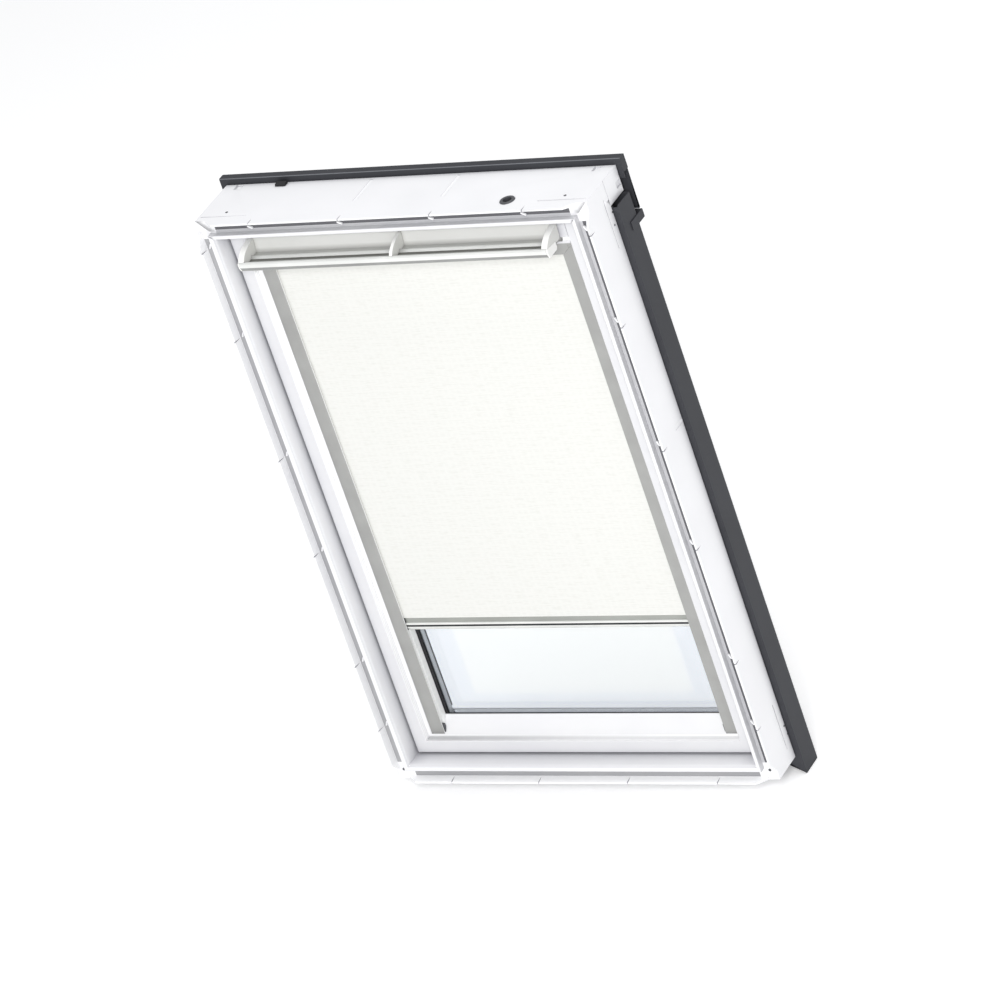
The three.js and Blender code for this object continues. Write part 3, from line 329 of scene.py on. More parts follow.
# In the groove that takes the room's lining, shade is painted: its wall and floor are grey, and
# the strip of floor under the outer lip is painted dark, as a shadow.
groove_wall_painted_shade = finish_coat(
    "lacquer_in_the_groove_painted_shade", ("#c3c3c6", "#c9c9cb"), hollow="#d4d4d6", reach=0.01, **PEEL,
)
groove_floor_painted_shade = finish_coat(
    "lacquer_on_the_groove_floor_painted_shade", ("#a0a0a3", "#a8a8aa"), hollow="#d4d4d6", reach=0.01, **PEEL,
)
painted_shadow_under_the_lip = finish_coat(
    "lacquer_painted_shadow_under_the_lip", ("#5a5a5e", "#626266"), hollow="#d4d4d6", reach=0.01, **PEEL,
)
frame_finishes = [lacquer, lip_lacquer_painted_lit, reveal_lacquer_painted_shade, groove_wall_painted_shade, groove_floor_painted_shade, painted_shadow_under_the_lip]
sill_finishes = [lacquer, sill_lip_painted_lit, sill_reveal_painted_shade, groove_wall_painted_shade, groove_floor_painted_shade]
PLAIN, ON_LIP, IN_REVEAL, GROOVE_WALL_SHADE, GROOVE_FLOOR_SHADE, LIP_SHADOW = range(len(frame_finishes))

# Distances in from the frame's edge: the outer lip's flank and base, the start of the groove's
# floor, the groove's inner wall, and the strip under the lip that is painted as a shadow. Then two
# depths: that of the sash's face, and that of the groove's mouth.
LIP_FLANK = (0.0004, 0.006)
LIP_BASE = 0.008
FLOOR_START = 0.005
GROOVE_EDGES = (0.020, 0.030)
LIP_SHADOW_WIDTH = 0.0185
SASH_FACE = -0.006
GROOVE_MOUTH = -0.030
# Within this far of the frame's corners, the groove's floor takes the lips' lacquer, painted lit,
# not the painted shade.
CORNER = 0.036
# How much of a normal lies along a way: of a face that is square to it, leans to it, or only just
# turns to it
SQUARE = 0.9
LEANING = 0.5
TURNED = 0.05


def section_part(inward, facing, way, at, from_end, shadow_width=0.0):
    """The number of a face's finish, from how far in it lies on the section and if it faces in.

    The last argument is the width under the lip that is painted as a shadow, where the rest of the
    groove's floor takes the wall's painted shade. Where it is zero, the floor takes a painted shade
    of its own.
    """
    if facing < -SQUARE and LIP_FLANK[0] < inward < LIP_FLANK[1]:
        return ON_LIP
    if at.y > SASH_FACE:
        return PLAIN
    if inward > GROOVE_EDGES[1]:
        return IN_REVEAL if facing > LEANING else ON_LIP
    if facing < -LEANING and inward > GROOVE_EDGES[0]:
        return GROOVE_WALL_SHADE
    if way.y < -SQUARE and at.y > GROOVE_MOUTH and inward > FLOOR_START:
        if from_end < CORNER:
            return ON_LIP
        if not shadow_width:
            return GROOVE_FLOOR_SHADE
        return LIP_SHADOW if inward < shadow_width else GROOVE_WALL_SHADE
    return ON_LIP if inward < LIP_BASE and (facing > TURNED or way.y < -SQUARE) else PLAIN


up_cuts = [((0, 0, z), UP) for z in (FRAME_FOOT + CORNER, FRAME_TOP - CORNER)]
up_cuts.append(((FRAME_HALF - LIP_SHADOW_WIDTH, 0, 0), ACROSS))
across_cuts = [((x, 0, 0), ACROSS) for x in (CORNER - FRAME_HALF, FRAME_HALF - CORNER)]
for word, shadow_width in (("jamb_left", 0.0), ("jamb_right", LIP_SHADOW_WIDTH)):
    worked(
        f"moulded_{word}", f"frame_{word}", frame_finishes, "frame", MOULD_ROUND,
        FRAME_EDGES,
        lambda way, at: section_part(
            FRAME_HALF - abs(at.x), -math.copysign(1, at.x) * way.x, way, at,
            min(at.z - FRAME_FOOT, FRAME_TOP - at.z), shadow_width,
        ),
        up_cuts,
    )
worked(
    "moulded_head", "frame_head", frame_finishes, "frame", MOULD_ROUND,
    FRAME_EDGES,
    lambda way, at: section_part(
        FRAME_TOP - at.z, -way.z, way, at, FRAME_HALF - abs(at.x), LIP_SHADOW_WIDTH,
    ),
    [*across_cuts, ((0, 0, FRAME_TOP - LIP_SHADOW_WIDTH), UP)],
)
worked(
    "moulded_sill", "frame_sill", sill_finishes, "frame", MOULD_ROUND,
    FRAME_EDGES,
    lambda way, at: section_part(at.z - FRAME_FOOT, way.z, way, at, FRAME_HALF - abs(at.x)),
    across_cuts,
)

# Groove ribs: a small rib of the frame's own foam is moulded in the groove, a little beside each
# of the lip's notches. Its corners are distances in from the frame's edge and along it.
RIB = ((0.0118, -0.0045), (0.0148, -0.0045), (0.0188, 0.0045), (0.0158, 0.0045))
RIB_FOOT = -0.0258
RIB_HEIGHT = 0.0042
RIB_ROUND = 0.0003
RIB_ASIDE = 0.0075
WIDTH_NOTCHES = (0.15, 0.383, 0.617, 0.85)
HEIGHT_NOTCHES = (0.098, 0.2165, 0.418, 0.589, 0.799, 0.952)


def swept(name, bases, way, edge_round, finish, body):
    """Prisms on the given flat outlines, swept one way, with rounded edges."""
    shape = bmesh.new()
    for base in bases:
        face = shape.faces.new([shape.verts.new(point) for point in base])
        sweep = bmesh.ops.extrude_face_region(shape, geom=[face])
        moved = [item for item in sweep["geom"] if isinstance(item, bmesh.types.BMVert)]
        bmesh.ops.translate(shape, verts=moved, vec=way)
    bmesh.ops.bevel(
        shape, geom=shape.edges[:], offset=edge_round, segments=2, profile=0.5, affect="EDGES",
        material=-1,
    )
    bmesh.ops.recalc_face_normals(shape, faces=shape.faces)
    return placed(name, shape, [finish], body)


head_ribs = [
    [((2 * share - 1) * FRAME_HALF - RIB_ASIDE + along, RIB_FOOT, FRAME_TOP - inward)
     for inward, along in RIB]
    for share in WIDTH_NOTCHES
]
jamb_ribs = [
    [(side * (FRAME_HALF - inward), RIB_FOOT,
      FRAME_FOOT + share * (FRAME_TOP - FRAME_FOOT) + RIB_ASIDE + along)
     for inward, along in RIB]
    for side in (-1, 1) for share in HEIGHT_NOTCHES
]
swept(
    "moulded_groove_ribs", head_ribs + jamb_ribs, (0, -RIB_HEIGHT, 0), RIB_ROUND, lip_lacquer_painted_lit,
    "frame",
)

# Plugs: grey nylon, moulded and pushed into the lacquered members over the fixing screws in the
# frame's sides and by the lining groove's ends in the head. A screw sits at each lower corner.
# Each size is a radius and a height.
SIDE_PLUG_SIZE = (0.0019, 0.0004)
HEAD_PLUG_SIZE = (0.0026, 0.0004)
CORNER_SCREW_SIZE = (0.0026, 0.0008)
SIDE_PLUGS = ((0.0395, 0.0678), (0.0424, 0.0495), (0.0357, 1.096), (0.0414, 1.118))
HEAD_PLUG = 0.338
CORNER_SCREW = (0.376, -0.026, 0.020)

# Each head is a short cylinder that also stands in the surface. The root is its depth there, as
# a share of its height, like the socket's depth and the rim's rounding.
STUD_SIDES = 24
STUD_ROOT = 0.5
SOCKET_INSET = 0.5
SOCKET_DEPTH = 0.7
RIM_ROUND = 0.4
# The socket has six lobes of four points each.
LOBES = (1.0, 0.86, 0.72, 0.86)
RIM_TURN = 0.2
LEVEL = 1e-6


def studs(name, places, radius, height, finish, slot, body, socket=True):
    """Low round heads, each given by a point on the surface and the way it faces, as one piece."""
    shape = bmesh.new()
    for point, facing in places:
        turn = Vector(facing).to_track_quat("Z", "Y").to_matrix().to_4x4()
        middle = Vector(point) + Vector(facing) * height * (1 - STUD_ROOT) / 2
        made = bmesh.ops.create_cone(
            shape, cap_ends=True, cap_tris=False, segments=STUD_SIDES, radius1=radius,
            radius2=radius, depth=height * (1 + STUD_ROOT),
            matrix=Matrix.Translation(middle) @ turn,
        )
        crown = max(
            {f for v in made["verts"] for f in v.link_faces if len(f.verts) == STUD_SIDES},
            key=lambda f: f.calc_center_median().dot(Vector(facing)),
        )
        if socket:
            bmesh.ops.inset_individual(
                shape, faces=[crown], thickness=radius * SOCKET_INSET, use_even_offset=True,
            )
            middle = crown.calc_center_median()
            for index, vertex in enumerate(crown.verts):
                vertex.co = middle + (vertex.co - middle) * LOBES[index % len(LOBES)]
            inner = bmesh.ops.extrude_discrete_faces(shape, faces=[crown])["faces"]
            bmesh.ops.translate(
                shape, verts=inner[0].verts, vec=Vector(facing) * -height * SOCKET_DEPTH,
            )
        rim = [
            edge for vertex in made["verts"] if vertex.is_valid for edge in vertex.link_edges
            if edge.is_manifold
            and len(edge.link_faces[0].verts) != len(edge.link_faces[1].verts)
            and (edge.verts[0].co - Vector(point)).dot(Vector(facing)) > height / 2
            and abs(edge.calc_face_angle() - math.pi / 2) < RIM_TURN
            and abs((edge.verts[0].co - edge.verts[1].co).dot(Vector(facing))) < LEVEL
        ]
        bmesh.ops.bevel(
            shape, geom=list(set(rim)), offset=height * RIM_ROUND, offset_type="OFFSET",
            segments=2, profile=0.5, affect="EDGES", clamp_overlap=True, material=-1,
        )
    bmesh.ops.recalc_face_normals(shape, faces=shape.faces)
    return placed(name, shape, [finish], body)


# Nylon, moulded: a dark grey with a soft, slightly uneven sheen.
nylon = finish_coat(
    "moulded_nylon", ("#45464a", "#4b4c50"), gloss=(0.42, 0.56), grain=1.2, relief=0.00003,
    hollow="#6a6a6e", reach=0.01, patch=20, IOR=1.53,
)
studs(
    "fixing_plugs",
    [((side * FRAME_HALF, y, z), (side, 0, 0)) for side in (-1, 1) for y, z in SIDE_PLUGS],
    *SIDE_PLUG_SIZE, nylon, "grey_plastic", "frame", socket=False,
)
studs(
    "head_plugs", [((side * HEAD_PLUG, 0.0, FRAME_TOP), UP) for side in (-1, 1)],
    *HEAD_PLUG_SIZE, nylon, "grey_plastic", "frame", socket=False,
)
studs(
    "corner_screws",
    [((side * CORNER_SCREW[0], *CORNER_SCREW[1:]), (0, -1, 0)) for side in (-1, 1)],
    *CORNER_SCREW_SIZE, nylon, "grey_plastic", "frame",
)

# Sash: the same lacquered polyurethane round timber, hung on pivots at mid height. Its flat face
# is painted darker than its inner bevel, as shade, and the bevel's step and the front flanks of its
# ridges are painted brightest, as highlights.
SASH_EDGES = (0.3465, 0.0435, 1.1345)
SASH_ROUND = 0.0003
STEP_END = -0.002
RIDGES = (-0.0035, 0.0095)
EDGEWISE = 0.3
FLANK = 0.4
sash_lacquer = finish_coat(
    "lacquer_on_the_sash_bevel", ("#e9e9eb", "#ececed"), hollow="#c4c4c8", reach=0.003, **PEEL,
)
sash_face_painted_shade = finish_coat(
    "lacquer_on_the_sash_face_painted_shade", ("#d6d6d9", "#dadadc"), hollow="#bcbcc2", reach=0.02, **PEEL,
)
ridge_painted_highlight = finish_coat(
    "lacquer_on_the_ridges_painted_highlight", ("#fafafb", "#fcfcfd"), hollow="#f4f4f5", reach=0.002, **PEEL,
)


def sash_part(way, at):
    """The sash's flat face is painted as shade, and its step and ridges' front flanks as highlights.
    """
    if way.y < -SQUARE and at.y < RIDGES[0]:
        return 1
    if SASH_FACE < at.y < STEP_END and abs(way.y) < EDGEWISE:
        return 2
    return 2 if RIDGES[0] < at.y < RIDGES[1] and way.y < -FLANK else 0


for word in ("stile_left", "stile_right", "bottom_rail", "top_rail"):
    worked(
        f"moulded_sash_{word}", f"sash_{word}", [sash_lacquer, sash_face_painted_shade, ridge_painted_highlight],
        "sash", SASH_ROUND, SASH_EDGES, sash_part,
    )

# Cladding: folded aluminium sheet that covers the frame and sash outside, hooked and screwed on.
# Its dark grey baked lacquer is even and satin. A paler strip along the hood's front fold is a
# painted highlight.
# The coat's fine grain is drawn at 1.5 mm, coarser than it is.
FOLD_ROUND = 0.0012
FOLD_SLOPE = 0.2
BAKED = dict(grain=1.5, relief=0.00002, hollow="#b0b0b4", reach=0.01, patch=110, IOR=1.5)
cladding = finish_coat(
    "baked_lacquer_on_aluminium", ("#36373b", "#3b3c40"), gloss=(0.5, 0.6),
    Specular_IOR_Level=0.2, **BAKED,
)
fold_painted_highlight = finish_coat(
    "lacquer_painted_highlight_on_the_fold", ("#606267", "#686a6f"), gloss=(0.4, 0.5), **BAKED,
)
worked("folded_sill_cover", "sill_cover", [cladding], "frame", FOLD_ROUND)
worked(
    "folded_hood", "hood", [cladding, fold_painted_highlight], "frame", FOLD_ROUND,
    which=lambda way, at: int(way.y < -FOLD_SLOPE and way.z > FOLD_SLOPE),
)

# Side covers: of the same folded sheet. Their feet are cut on a slant, so that the back flange
# ends with the frame. Tabs folded below the jambs' feet hold their lower ends, and brackets tie
# their upper ends to the hood.
COVER_FOOT = -0.037
COVER_HALF = 0.402
COVER_FLANGE = 0.049
FOOT_POINTS = 0.003
TAB = (
    (0.4005, -0.0165), (0.4005, -0.0215), (0.3790, -0.0215), (0.3790, -0.0275),
    (0.3725, -0.0275), (0.3725, -0.0200), (0.3750, -0.0165),
)
TAB_DEPTHS = (0.070, 0.084)
TAB_ROUND = 0.0006
BRACKET_ROUND = 0.0006
for word in ("left", "right"):
    cover = worked(
        f"folded_side_cover_{word}", f"side_cover_{word}", [cladding], "frame",
        FOLD_ROUND,
    )
    for vertex in cover.data.vertices:
        if vertex.co.z < COVER_FOOT + FOOT_POINTS:
            vertex.co.z -= COVER_FOOT * (COVER_HALF - abs(vertex.co.x)) / COVER_FLANGE
swept(
    "folded_foot_tabs", [[(side * x, TAB_DEPTHS[0], z) for x, z in TAB] for side in (-1, 1)],
    (0, TAB_DEPTHS[1] - TAB_DEPTHS[0], 0), TAB_ROUND, cladding, "frame",
)
for word in ("cover_bracket_left", "cover_bracket_right"):
    worked(f"folded_{word}", word, [cladding], "frame", BRACKET_ROUND)

# Sash cladding: four strips of the same sheet, clipped over the outer pane's rim. A white sealing
# strip edges the bottom one along the glass.
SEAL_FOOT = 0.0872
SASH_FOLD_ROUND = 0.0004
for word in ("left", "right", "bottom", "top"):
    worked(
        f"folded_sash_cladding_{word}", f"sash_cladding_{word}", [cladding, lip_lacquer_painted_lit],
        "sash", SASH_FOLD_ROUND, SASH_EDGES,
        lambda way, at: int(word == "bottom" and at.z > SEAL_FOOT), [((0, 0, SEAL_FOOT), UP)],
    )

# Rubber: seals extruded of EPDM and pressed into grooves, between frame and sash and round the
# glass, and the hood's clip. The bloom that rubber gets with age greys it in soft patches. At the
# foot, the gasket stands lower.
GASKET_ROUND = 0.0002
FOOT_EDGE = (0.1015, 0.1040)
GASKET_DROP = 0.0012
rubber = finish_coat(
    "extruded_epdm_rubber", ("#161618", "#1e1e20"), gloss=(0.6, 0.8), grain=1.0, relief=0.00003,
    hollow="#8a8a8a", reach=0.01, patch=30, IOR=1.52,
)


def dress(finish, *names):
    """Gives CAD nodes a finish."""
    for name in names:
        nodes[name].data.materials.clear()
        nodes[name].data.materials.append(finish)


def lower_foot(piece, drop):
    """Lowers the upper edge of a glazing piece's foot."""
    for vertex in piece.data.vertices:
        if FOOT_EDGE[0] < vertex.co.z < FOOT_EDGE[1]:
            vertex.co.z -= drop


dress(rubber, "frame_seal", "hood_clip")
gasket = worked(
    "extruded_glazing_gasket", "glazing_gasket", [rubber], "sash", GASKET_ROUND,
)
lower_foot(gasket, GASKET_DROP)

# Glazing: two float panes, bonded to a spacer between them. The outer pane is tinted faintly bluer
# in a margin round a clear field.
FIELD_HALF = 0.225
FIELD_FOOT = 0.1325
PANE_MIDDLE = 0.589
FIELD_EDGE = 0.001


def float_glass(name, margin, field):
    """Clear glass with a faint tint, bluer outside a field round the middle."""
    made, shader = material(name, margin, Roughness=0.01, IOR=1.5, Transmission_Weight=1.0)
    place = node(made, "ShaderNodeTexCoord").outputs["Object"]
    parts = node(made, "ShaderNodeSeparateXYZ", Vector=place)
    aside = node(made, "ShaderNodeMath", {"operation": "ABSOLUTE"}, [parts.outputs["X"]])
    above = node(
        made, "ShaderNodeMath", {"operation": "SUBTRACT", 1: PANE_MIDDLE}, [parts.outputs["Z"]],
    )
    height = node(made, "ShaderNodeMath", {"operation": "ABSOLUTE"}, [above.outputs["Value"]])
    side = node(
        made, "ShaderNodeMapRange",
        {"From Min": FIELD_HALF - FIELD_EDGE, "From Max": FIELD_HALF + FIELD_EDGE},
        Value=aside.outputs["Value"],
    )
    reach = PANE_MIDDLE - FIELD_FOOT
    end = node(
        made, "ShaderNodeMapRange",
        {"From Min": reach - FIELD_EDGE, "From Max": reach + FIELD_EDGE},
        Value=height.outputs["Value"],
    )
    outside = node(
        made, "ShaderNodeMath", {"operation": "MAXIMUM"},
        [side.outputs["Result"], end.outputs["Result"]],
    )
    tint = node(
        made, "ShaderNodeMixRGB", {"Color1": linear(field), "Color2": linear(margin)},
        Fac=outside.outputs["Value"],
    )
    made.node_tree.links.new(tint.outputs["Color"], shader.inputs["Base Color"])
    return made


dress(float_glass("clear_float_glass", "#fdfeff", "#feffff"), "glass_inner")
dress(float_glass("tinted_float_glass", "#f3f7fc", "#fdffff"), "glass_outer")

# Spacer: a hollow bar of rolled aluminium, bent round the panes' edge and bonded between them. It
# is a dull silver, and the top of its foot, which stands lower, is painted bright, as lit.
SPACER_ROUND = 0.0002
SPACER_FOOT = 0.11
SPACER_DROP = 0.0046
ROLLED = dict(grain=0.8, patch=40)
spacer = finish_coat(
    "rolled_aluminium_spacer", ("#d6d9dc", "#e0e3e6"), gloss=(0.3, 0.4), relief=0.00002,
    hollow="#7c7c80", reach=0.01, Metallic=0.6, **ROLLED,
)
spacer_foot_painted_lit = finish_coat(
    "rolled_aluminium_foot_painted_lit", ("#f2f4f6", "#f8fafb"), gloss=(0.12, 0.18), relief=0.00001,
    hollow="#e8e8ea", reach=0.004, Metallic=1.0, **ROLLED,
)
ring = worked(
    "rolled_spacer", "glass_spacer", [spacer, spacer_foot_painted_lit], "sash",
    SPACER_ROUND, which=lambda way, at: int(at.z < SPACER_FOOT and way.z > LEANING),
)
lower_foot(ring, SPACER_DROP)

# Steel fittings: the pivots, latch and striker, which are stamped and screwed on, and the blind's
# spring motor. The zinc that galvanises them shows its crystals as a faint spangle.
PLATE_FACE = 0.3502
PLATE_SCREW_SIZE = (0.0035, 0.0012)
STRIKER_SCREW_SIZE = (0.003, 0.001)
PLATE_SCREWS = (
    (0.026, 0.524), (0.048, 0.524), (0.037, 0.548), (0.037, 0.630), (0.026, 0.654), (0.048, 0.654),
)
STRIKER_SCREW = (0.025, 0.0423, 1.1405)
zinc = finish_coat(
    "galvanised_steel", ("#a2a4a6", "#b4b6b8"), gloss=(0.3, 0.5), grain=0.6, relief=0.00002,
    hollow="#6a6a6e", reach=0.015, patch=6, Metallic=1.0,
)
dress(
    zinc, "striker_plate", "hinge_plate_left", "hinge_plate_right", "pivot_pin_left",
    "pivot_pin_right", "latch_case", "latch_tongue", "spring_motor",
)
studs(
    "hinge_plate_screws",
    [((side * PLATE_FACE, y, z), (-side, 0, 0)) for side in (-1, 1) for y, z in PLATE_SCREWS],
    *PLATE_SCREW_SIZE, zinc, "steel", "frame",
)
studs(
    "striker_screws",
    [((side * STRIKER_SCREW[0], *STRIKER_SCREW[1:]), (0, 0, -1)) for side in (-1, 1)],
    *STRIKER_SCREW_SIZE, zinc, "steel", "frame",
)

# Nylon fittings: the cable's grommet, the roller's plugs, the bottom bar's glides and the rails'
# stops are moulded of the plugs' dark nylon and pushed or screwed into their seats.
dress(
    nylon, "cable_grommet", "roller_plug_left", "roller_plug_right", "bar_glide_left",
    "bar_glide_right", "rail_stop_left", "rail_stop_right",
)

# Control bar: an aluminium extrusion, silver anodised, held between the arms. Its lower slope is
# painted darker, as shade, and its finger channel darker towards its back, as shade. Its drawing
# lines are drawn 0.5 mm wide, wider than they are.
BAR_ROUND = 0.0005
FRONT = 0.8
SLOPE = 0.1
CHANNEL = (-0.056, -0.0362)
CHANNEL_SHADE = ("Y", -0.053, -0.038, "#747470")
ANODISED = dict(grain=0.5, patch=60)
LINES_ACROSS = (0.03, 1, 1)
LINES_UP = (1, 1, 0.03)
satin = finish_coat(
    "silver_anodised_aluminium", ("#dcddda", "#e4e5e2"), gloss=(0.3, 0.4), relief=0.00002,
    hollow="#3c3c3e", reach=0.025, stretch=LINES_ACROSS, Metallic=0.35, **ANODISED,
)
slope_painted_shade = finish_coat(
    "anodised_aluminium_slope_painted_shade", ("#8c8d8b", "#969795"), gloss=(0.35, 0.45), relief=0.00003,
    hollow="#3c3c3e", reach=0.02, stretch=LINES_ACROSS, Metallic=0.5, **ANODISED,
)
channel = finish_coat(
    "anodised_finger_channel", ("#dcddda", "#e4e5e2"), gloss=(0.3, 0.4), relief=0.00002,
    hollow="#dcdcdc", reach=0.006, stretch=LINES_ACROSS, fade=CHANNEL_SHADE, Metallic=0.35, **ANODISED,
)


def bar_part(way, at):
    """The bar's lower slope and the back of its finger channel are painted as shade."""
    if way.y < -FRONT and way.z < -SLOPE:
        return 1
    return 2 if way.z > SLOPE and CHANNEL[0] < at.y < CHANNEL[1] else 0


worked(
    "extruded_control_bar", "control_bar", [satin, slope_painted_shade, channel], "flap",
    BAR_ROUND, which=bar_part,
)

# Ventilation flap: an ABS moulding, snapped on its hinge, with three arms that carry the bar. It
# is a slightly warm, soft-sheened white, painted darker towards the cove's foot and on the arms'
# sides, as shade. The outer arms reach out to the outsides of the bar's end caps.
FLAP_ROUND = 0.0006
ARM_END = 0.306
CAP_END = 0.3086
END_POINTS = 0.001
COVE_SHADE = ("Z", 1.112, 1.097, "#8c8c8a")
MOULDED_ABS = dict(gloss=(0.38, 0.46), grain=1.0, relief=0.00002, IOR=1.54)
shell = finish_coat(
    "moulded_abs", ("#ebebe8", "#eeeeeb"), hollow="#8c8c8c", reach=0.006, **MOULDED_ABS,
)
cove = finish_coat(
    "moulded_abs_cove", ("#e4e4e1", "#e8e8e5"), hollow="#d4d4d2", reach=0.01, fade=COVE_SHADE,
    **MOULDED_ABS,
)
arm_side_painted_shade = finish_coat(
    "moulded_abs_arm_side_painted_shade", ("#cfcfcb", "#d4d4d0"), hollow="#a8a8a6", reach=0.006, **MOULDED_ABS,
)
worked("moulded_vent_flap", "vent_flap", [cove], "flap", FLAP_ROUND)
for word in ("left", "middle", "right"):
    arm = worked(
        f"moulded_bar_arm_{word}", f"bar_arm_{word}", [shell, arm_side_painted_shade], "flap",
        FLAP_ROUND, which=lambda way, at: int(abs(way.x) > SQUARE),
    )
    for vertex in arm.data.vertices:
        if abs(vertex.co.x) > ARM_END - END_POINTS:
            vertex.co.x += math.copysign(CAP_END - ARM_END, vertex.co.x)

# End caps: moulded of the same ABS and pushed into the bar's ends. They are filled across the
# channel: each is the hull of its solid.
for word in ("left", "right"):
    shape = bmesh.new()
    shape.from_mesh(nodes[f"bar_end_cap_{word}"].data)
    bmesh.ops.remove_doubles(shape, verts=shape.verts, dist=MERGED)
    hull = bmesh.ops.convex_hull(shape, input=shape.verts)
    kept = {item for item in hull["geom"] if isinstance(item, bmesh.types.BMFace)}
    bmesh.ops.delete(shape, geom=list(set(shape.faces) - kept), context="FACES")
    merge_flat(shape)
    bmesh.ops.recalc_face_normals(shape, faces=shape.faces)
    cap = placed(f"filled_end_cap_{word}", shape, [shell], "flap")
    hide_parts(f"bar_end_cap_{word}")

# Filter: a cut strip of open-cell polyurethane foam, pressed into the passage behind the flap. Its
# pores make a rough, matt pale grey.
foam = finish_coat(
    "open_cell_foam", ("#bcbdbe", "#c8c9ca"), gloss=(0.9, 1.0), grain=1.5, relief=0.0004,
    hollow="#9a9a9a", reach=0.01, patch=10,
)
dress(foam, "vent_filter")

# Blind rails, cassette and roller tube: extruded aluminium, matt anodised to a mid grey, screwed
# to the sash. A pale nylon liner in each rail's slot lets the cloth's edge slide. Its pale finish
# covers every face of the rails but their fronts, and inside the slot it is painted light where
# shade would fall. The extrusion's lines along them are drawn 0.5 mm wide, wider than they are.
RAIL_ROUND = 0.0003
CASSETTE_ROUND = 0.0004
LINER_DEPTH = 0.0122
rail = finish_coat(
    "matt_anodised_aluminium", ("#9c9c9a", "#a4a4a2"), gloss=(0.42, 0.52), relief=0.00002,
    hollow="#8c8c8c", reach=0.01, stretch=LINES_UP, Metallic=0.3, **ANODISED,
)
slot_liner_and_painted_light = finish_coat(
    "slot_liner_nylon_and_painted_light", ("#eeefee", "#f4f5f4"), gloss=(0.5, 0.6), grain=0.5, relief=0.00002,
    hollow="#d0d0d2", reach=0.004, IOR=1.53,
)
for word in ("left", "right"):
    worked(
        f"extruded_blind_rail_{word}", f"blind_rail_{word}", [rail, slot_liner_and_painted_light],
        "sash", RAIL_ROUND, which=lambda way, at: int(way.y > -FRONT or at.y > LINER_DEPTH),
    )
worked(
    "extruded_blind_cassette", "blind_cassette", [rail], "sash", CASSETTE_ROUND,
)
dress(rail, "roller_tube", "cassette_end_left", "cassette_end_right")

# Bottom bar: a silver anodised extrusion with two ridges and a groove between them, in front of
# the cloth's hem, which it grips. Its shelf is painted darker than the ridges, and its groove dark,
# both as shade.
BOTTOM_BAR_ROUND = 0.0003
BAR_GROOVE = (0.3035, 0.3072)
GROOVE_DEPTH = 0.016
BAR_SHELF = 0.3118
SHADED_ANODISING = dict(
    gloss=(0.4, 0.5), relief=0.00002, hollow="#6c6c6c", reach=0.006, stretch=LINES_ACROSS,
    Metallic=0.4, **ANODISED,
)
shelf_painted_shade = finish_coat("anodised_aluminium_shelf_painted_shade", ("#999b96", "#a3a5a0"), **SHADED_ANODISING)
bar_groove_painted_shade = finish_coat("anodised_groove_painted_shade", ("#46484a", "#4c4e50"), **SHADED_ANODISING)


def bottom_bar_part(way, at):
    """The bottom bar's groove and shelf are painted as shade."""
    if BAR_GROOVE[0] < at.z < BAR_GROOVE[1] and at.y < GROOVE_DEPTH:
        return 2
    return 1 if at.z > BAR_SHELF else 0


worked(
    "extruded_bottom_bar", "bottom_bar", [satin, shelf_painted_shade, bar_groove_painted_shade], "blind_bar",
    BOTTOM_BAR_ROUND, which=bottom_bar_part,
)

# Blind cloth: plain-woven polyester, wound on the roller and gripped by the bottom bar. Its slubs
# give the warm white a faint unevenness. It is made in strips. To show, the threads are drawn
# 12.6 mm apart and the slubs 2.4 mm thick, which is 25 and 5 times as coarse as they are.
CLOTH_WIDTH = 0.602
CLOTH_DEPTH = 0.0155
CLOTH_THICK = 0.0004
CLOTH_TOP = 1.0722
CLOTH_LOW = 0.3209
STRIP_BORDERS = (0, 0.03, 0.12, 0.88, 0.97, 1)
GRID_ACROSS = 24
GRID_DOWN = 60
THREAD = 12.566
THREAD_RELIEF = 0.00005
# The distance between a wave pattern's bands at a scale of 1, in millimetres
BAND = 1000 * 2 * math.pi / 20
SLUB_LENGTH = 22.222
SLUB_THICK = 2.381
cloth, cloth_shader = material("woven_polyester", "#dcdcd8", Roughness=0.85, Sheen_Weight=0.05)
place = node(cloth, "ShaderNodeTexCoord").outputs["Object"]
warp, weft = [
    node(
        cloth, "ShaderNodeTexWave",
        {"bands_direction": axis, "Scale": BAND / THREAD, "Distortion": 1.2, "Detail Scale": 3.0},
        Vector=place,
    ).outputs["Fac"]
    for axis in ("X", "Z")
]
weave = node(cloth, "ShaderNodeMath", {"operation": "MAXIMUM"}, [warp, weft]).outputs["Value"]
flat = node(
    cloth, "ShaderNodeMapping", {"Scale": (1000 / SLUB_LENGTH, 1, 1000 / SLUB_THICK)},
    Vector=place,
)
slub = node(
    cloth, "ShaderNodeTexNoise", {"Scale": 1.0, "Detail": 2.0}, Vector=flat.outputs["Vector"],
)
yarn = node(cloth, "ShaderNodeValToRGB", Fac=slub.outputs["Fac"])
for stop, colour, share in zip(yarn.color_ramp.elements, ("#d8d8d3", "#dededa"), (0.28, 0.5)):
    stop.color, stop.position = linear(colour), share
gaps = node(cloth, "ShaderNodeMapRange", {"To Min": 0.975, "To Max": 1.0}, Value=weave)
tone = node(
    cloth, "ShaderNodeMixRGB", {"blend_type": "MULTIPLY", "Fac": 1.0},
    Color1=yarn.outputs["Color"], Color2=gaps.outputs["Result"],
)
cloth.node_tree.links.new(tone.outputs["Color"], cloth_shader.inputs["Base Color"])
raised = node(
    cloth, "ShaderNodeBump", {"Strength": 0.3, "Distance": THREAD_RELIEF}, Height=weave,
)
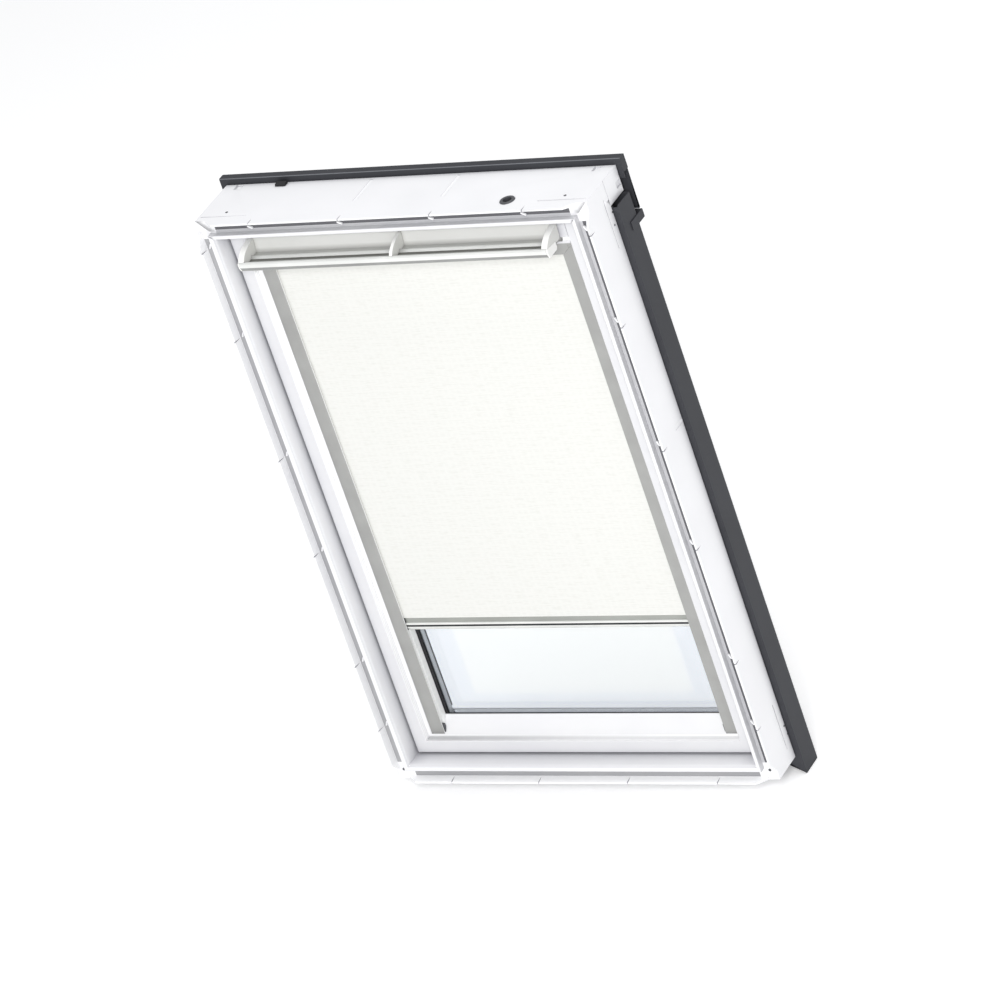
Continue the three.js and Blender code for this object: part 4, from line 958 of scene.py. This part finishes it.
cloth.node_tree.links.new(raised.outputs["Normal"], cloth_shader.inputs["Normal"])


length = CLOTH_TOP - CLOTH_LOW
for index, (w0, w1) in enumerate(zip(STRIP_BORDERS, STRIP_BORDERS[1:])):
    z0, z1 = CLOTH_TOP - w0 * length, CLOTH_TOP - w1 * length
    shape = bmesh.new()
    bmesh.ops.create_grid(
        shape, x_segments=GRID_ACROSS, y_segments=max(2, round(GRID_DOWN * (w1 - w0))), size=0.5,
    )
    for vertex in shape.verts:
        x, y = vertex.co.x, vertex.co.y
        vertex.co = (x * CLOTH_WIDTH, CLOTH_DEPTH, z0 + (y + 0.5) * (z1 - z0))
    bmesh.ops.recalc_face_normals(shape, faces=shape.faces)
    bmesh.ops.solidify(shape, geom=shape.faces, thickness=CLOTH_THICK)
    mesh = bpy.data.meshes.new(f"cloth_strip_{index}")
    shape.to_mesh(mesh)
    shape.free()
    mesh.materials.append(cloth)
    strip = bpy.data.objects.new(f"cloth_strip_{index}", mesh)
    bpy.context.scene.collection.objects.link(strip)
    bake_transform(strip)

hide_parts("blind_cloth")

# Wound cloth: the rest of the same cloth, glued to the roller's tube by its edge and wound round
# it. It is drawn in almost two turns, which fill the ring that the solid has.
ROLL_CENTRE = (0.0230, 1.0722)
ROLL_INNER = 0.0063
ROLL_OUTER = 0.0068
ROLL_HALF = 0.2999
ROLL_TURNS = 1.9
ROLL_THICK = 0.0002
shape = bmesh.new()
bmesh.ops.create_grid(shape, x_segments=16, y_segments=120, size=0.5)
for vertex in shape.verts:
    share = vertex.co.y + 0.5
    angle = share * ROLL_TURNS * 2 * math.pi
    radius = ROLL_INNER + share * (ROLL_OUTER - ROLL_INNER)
    vertex.co = (
        vertex.co.x * 2 * ROLL_HALF,
        ROLL_CENTRE[0] + radius * math.cos(angle), ROLL_CENTRE[1] + radius * math.sin(angle),
    )
bmesh.ops.solidify(shape, geom=shape.faces, thickness=ROLL_THICK)
bmesh.ops.recalc_face_normals(shape, faces=shape.faces)
roll = placed("rolled_cloth", shape, [cloth], "roller")
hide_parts("wound_cloth")
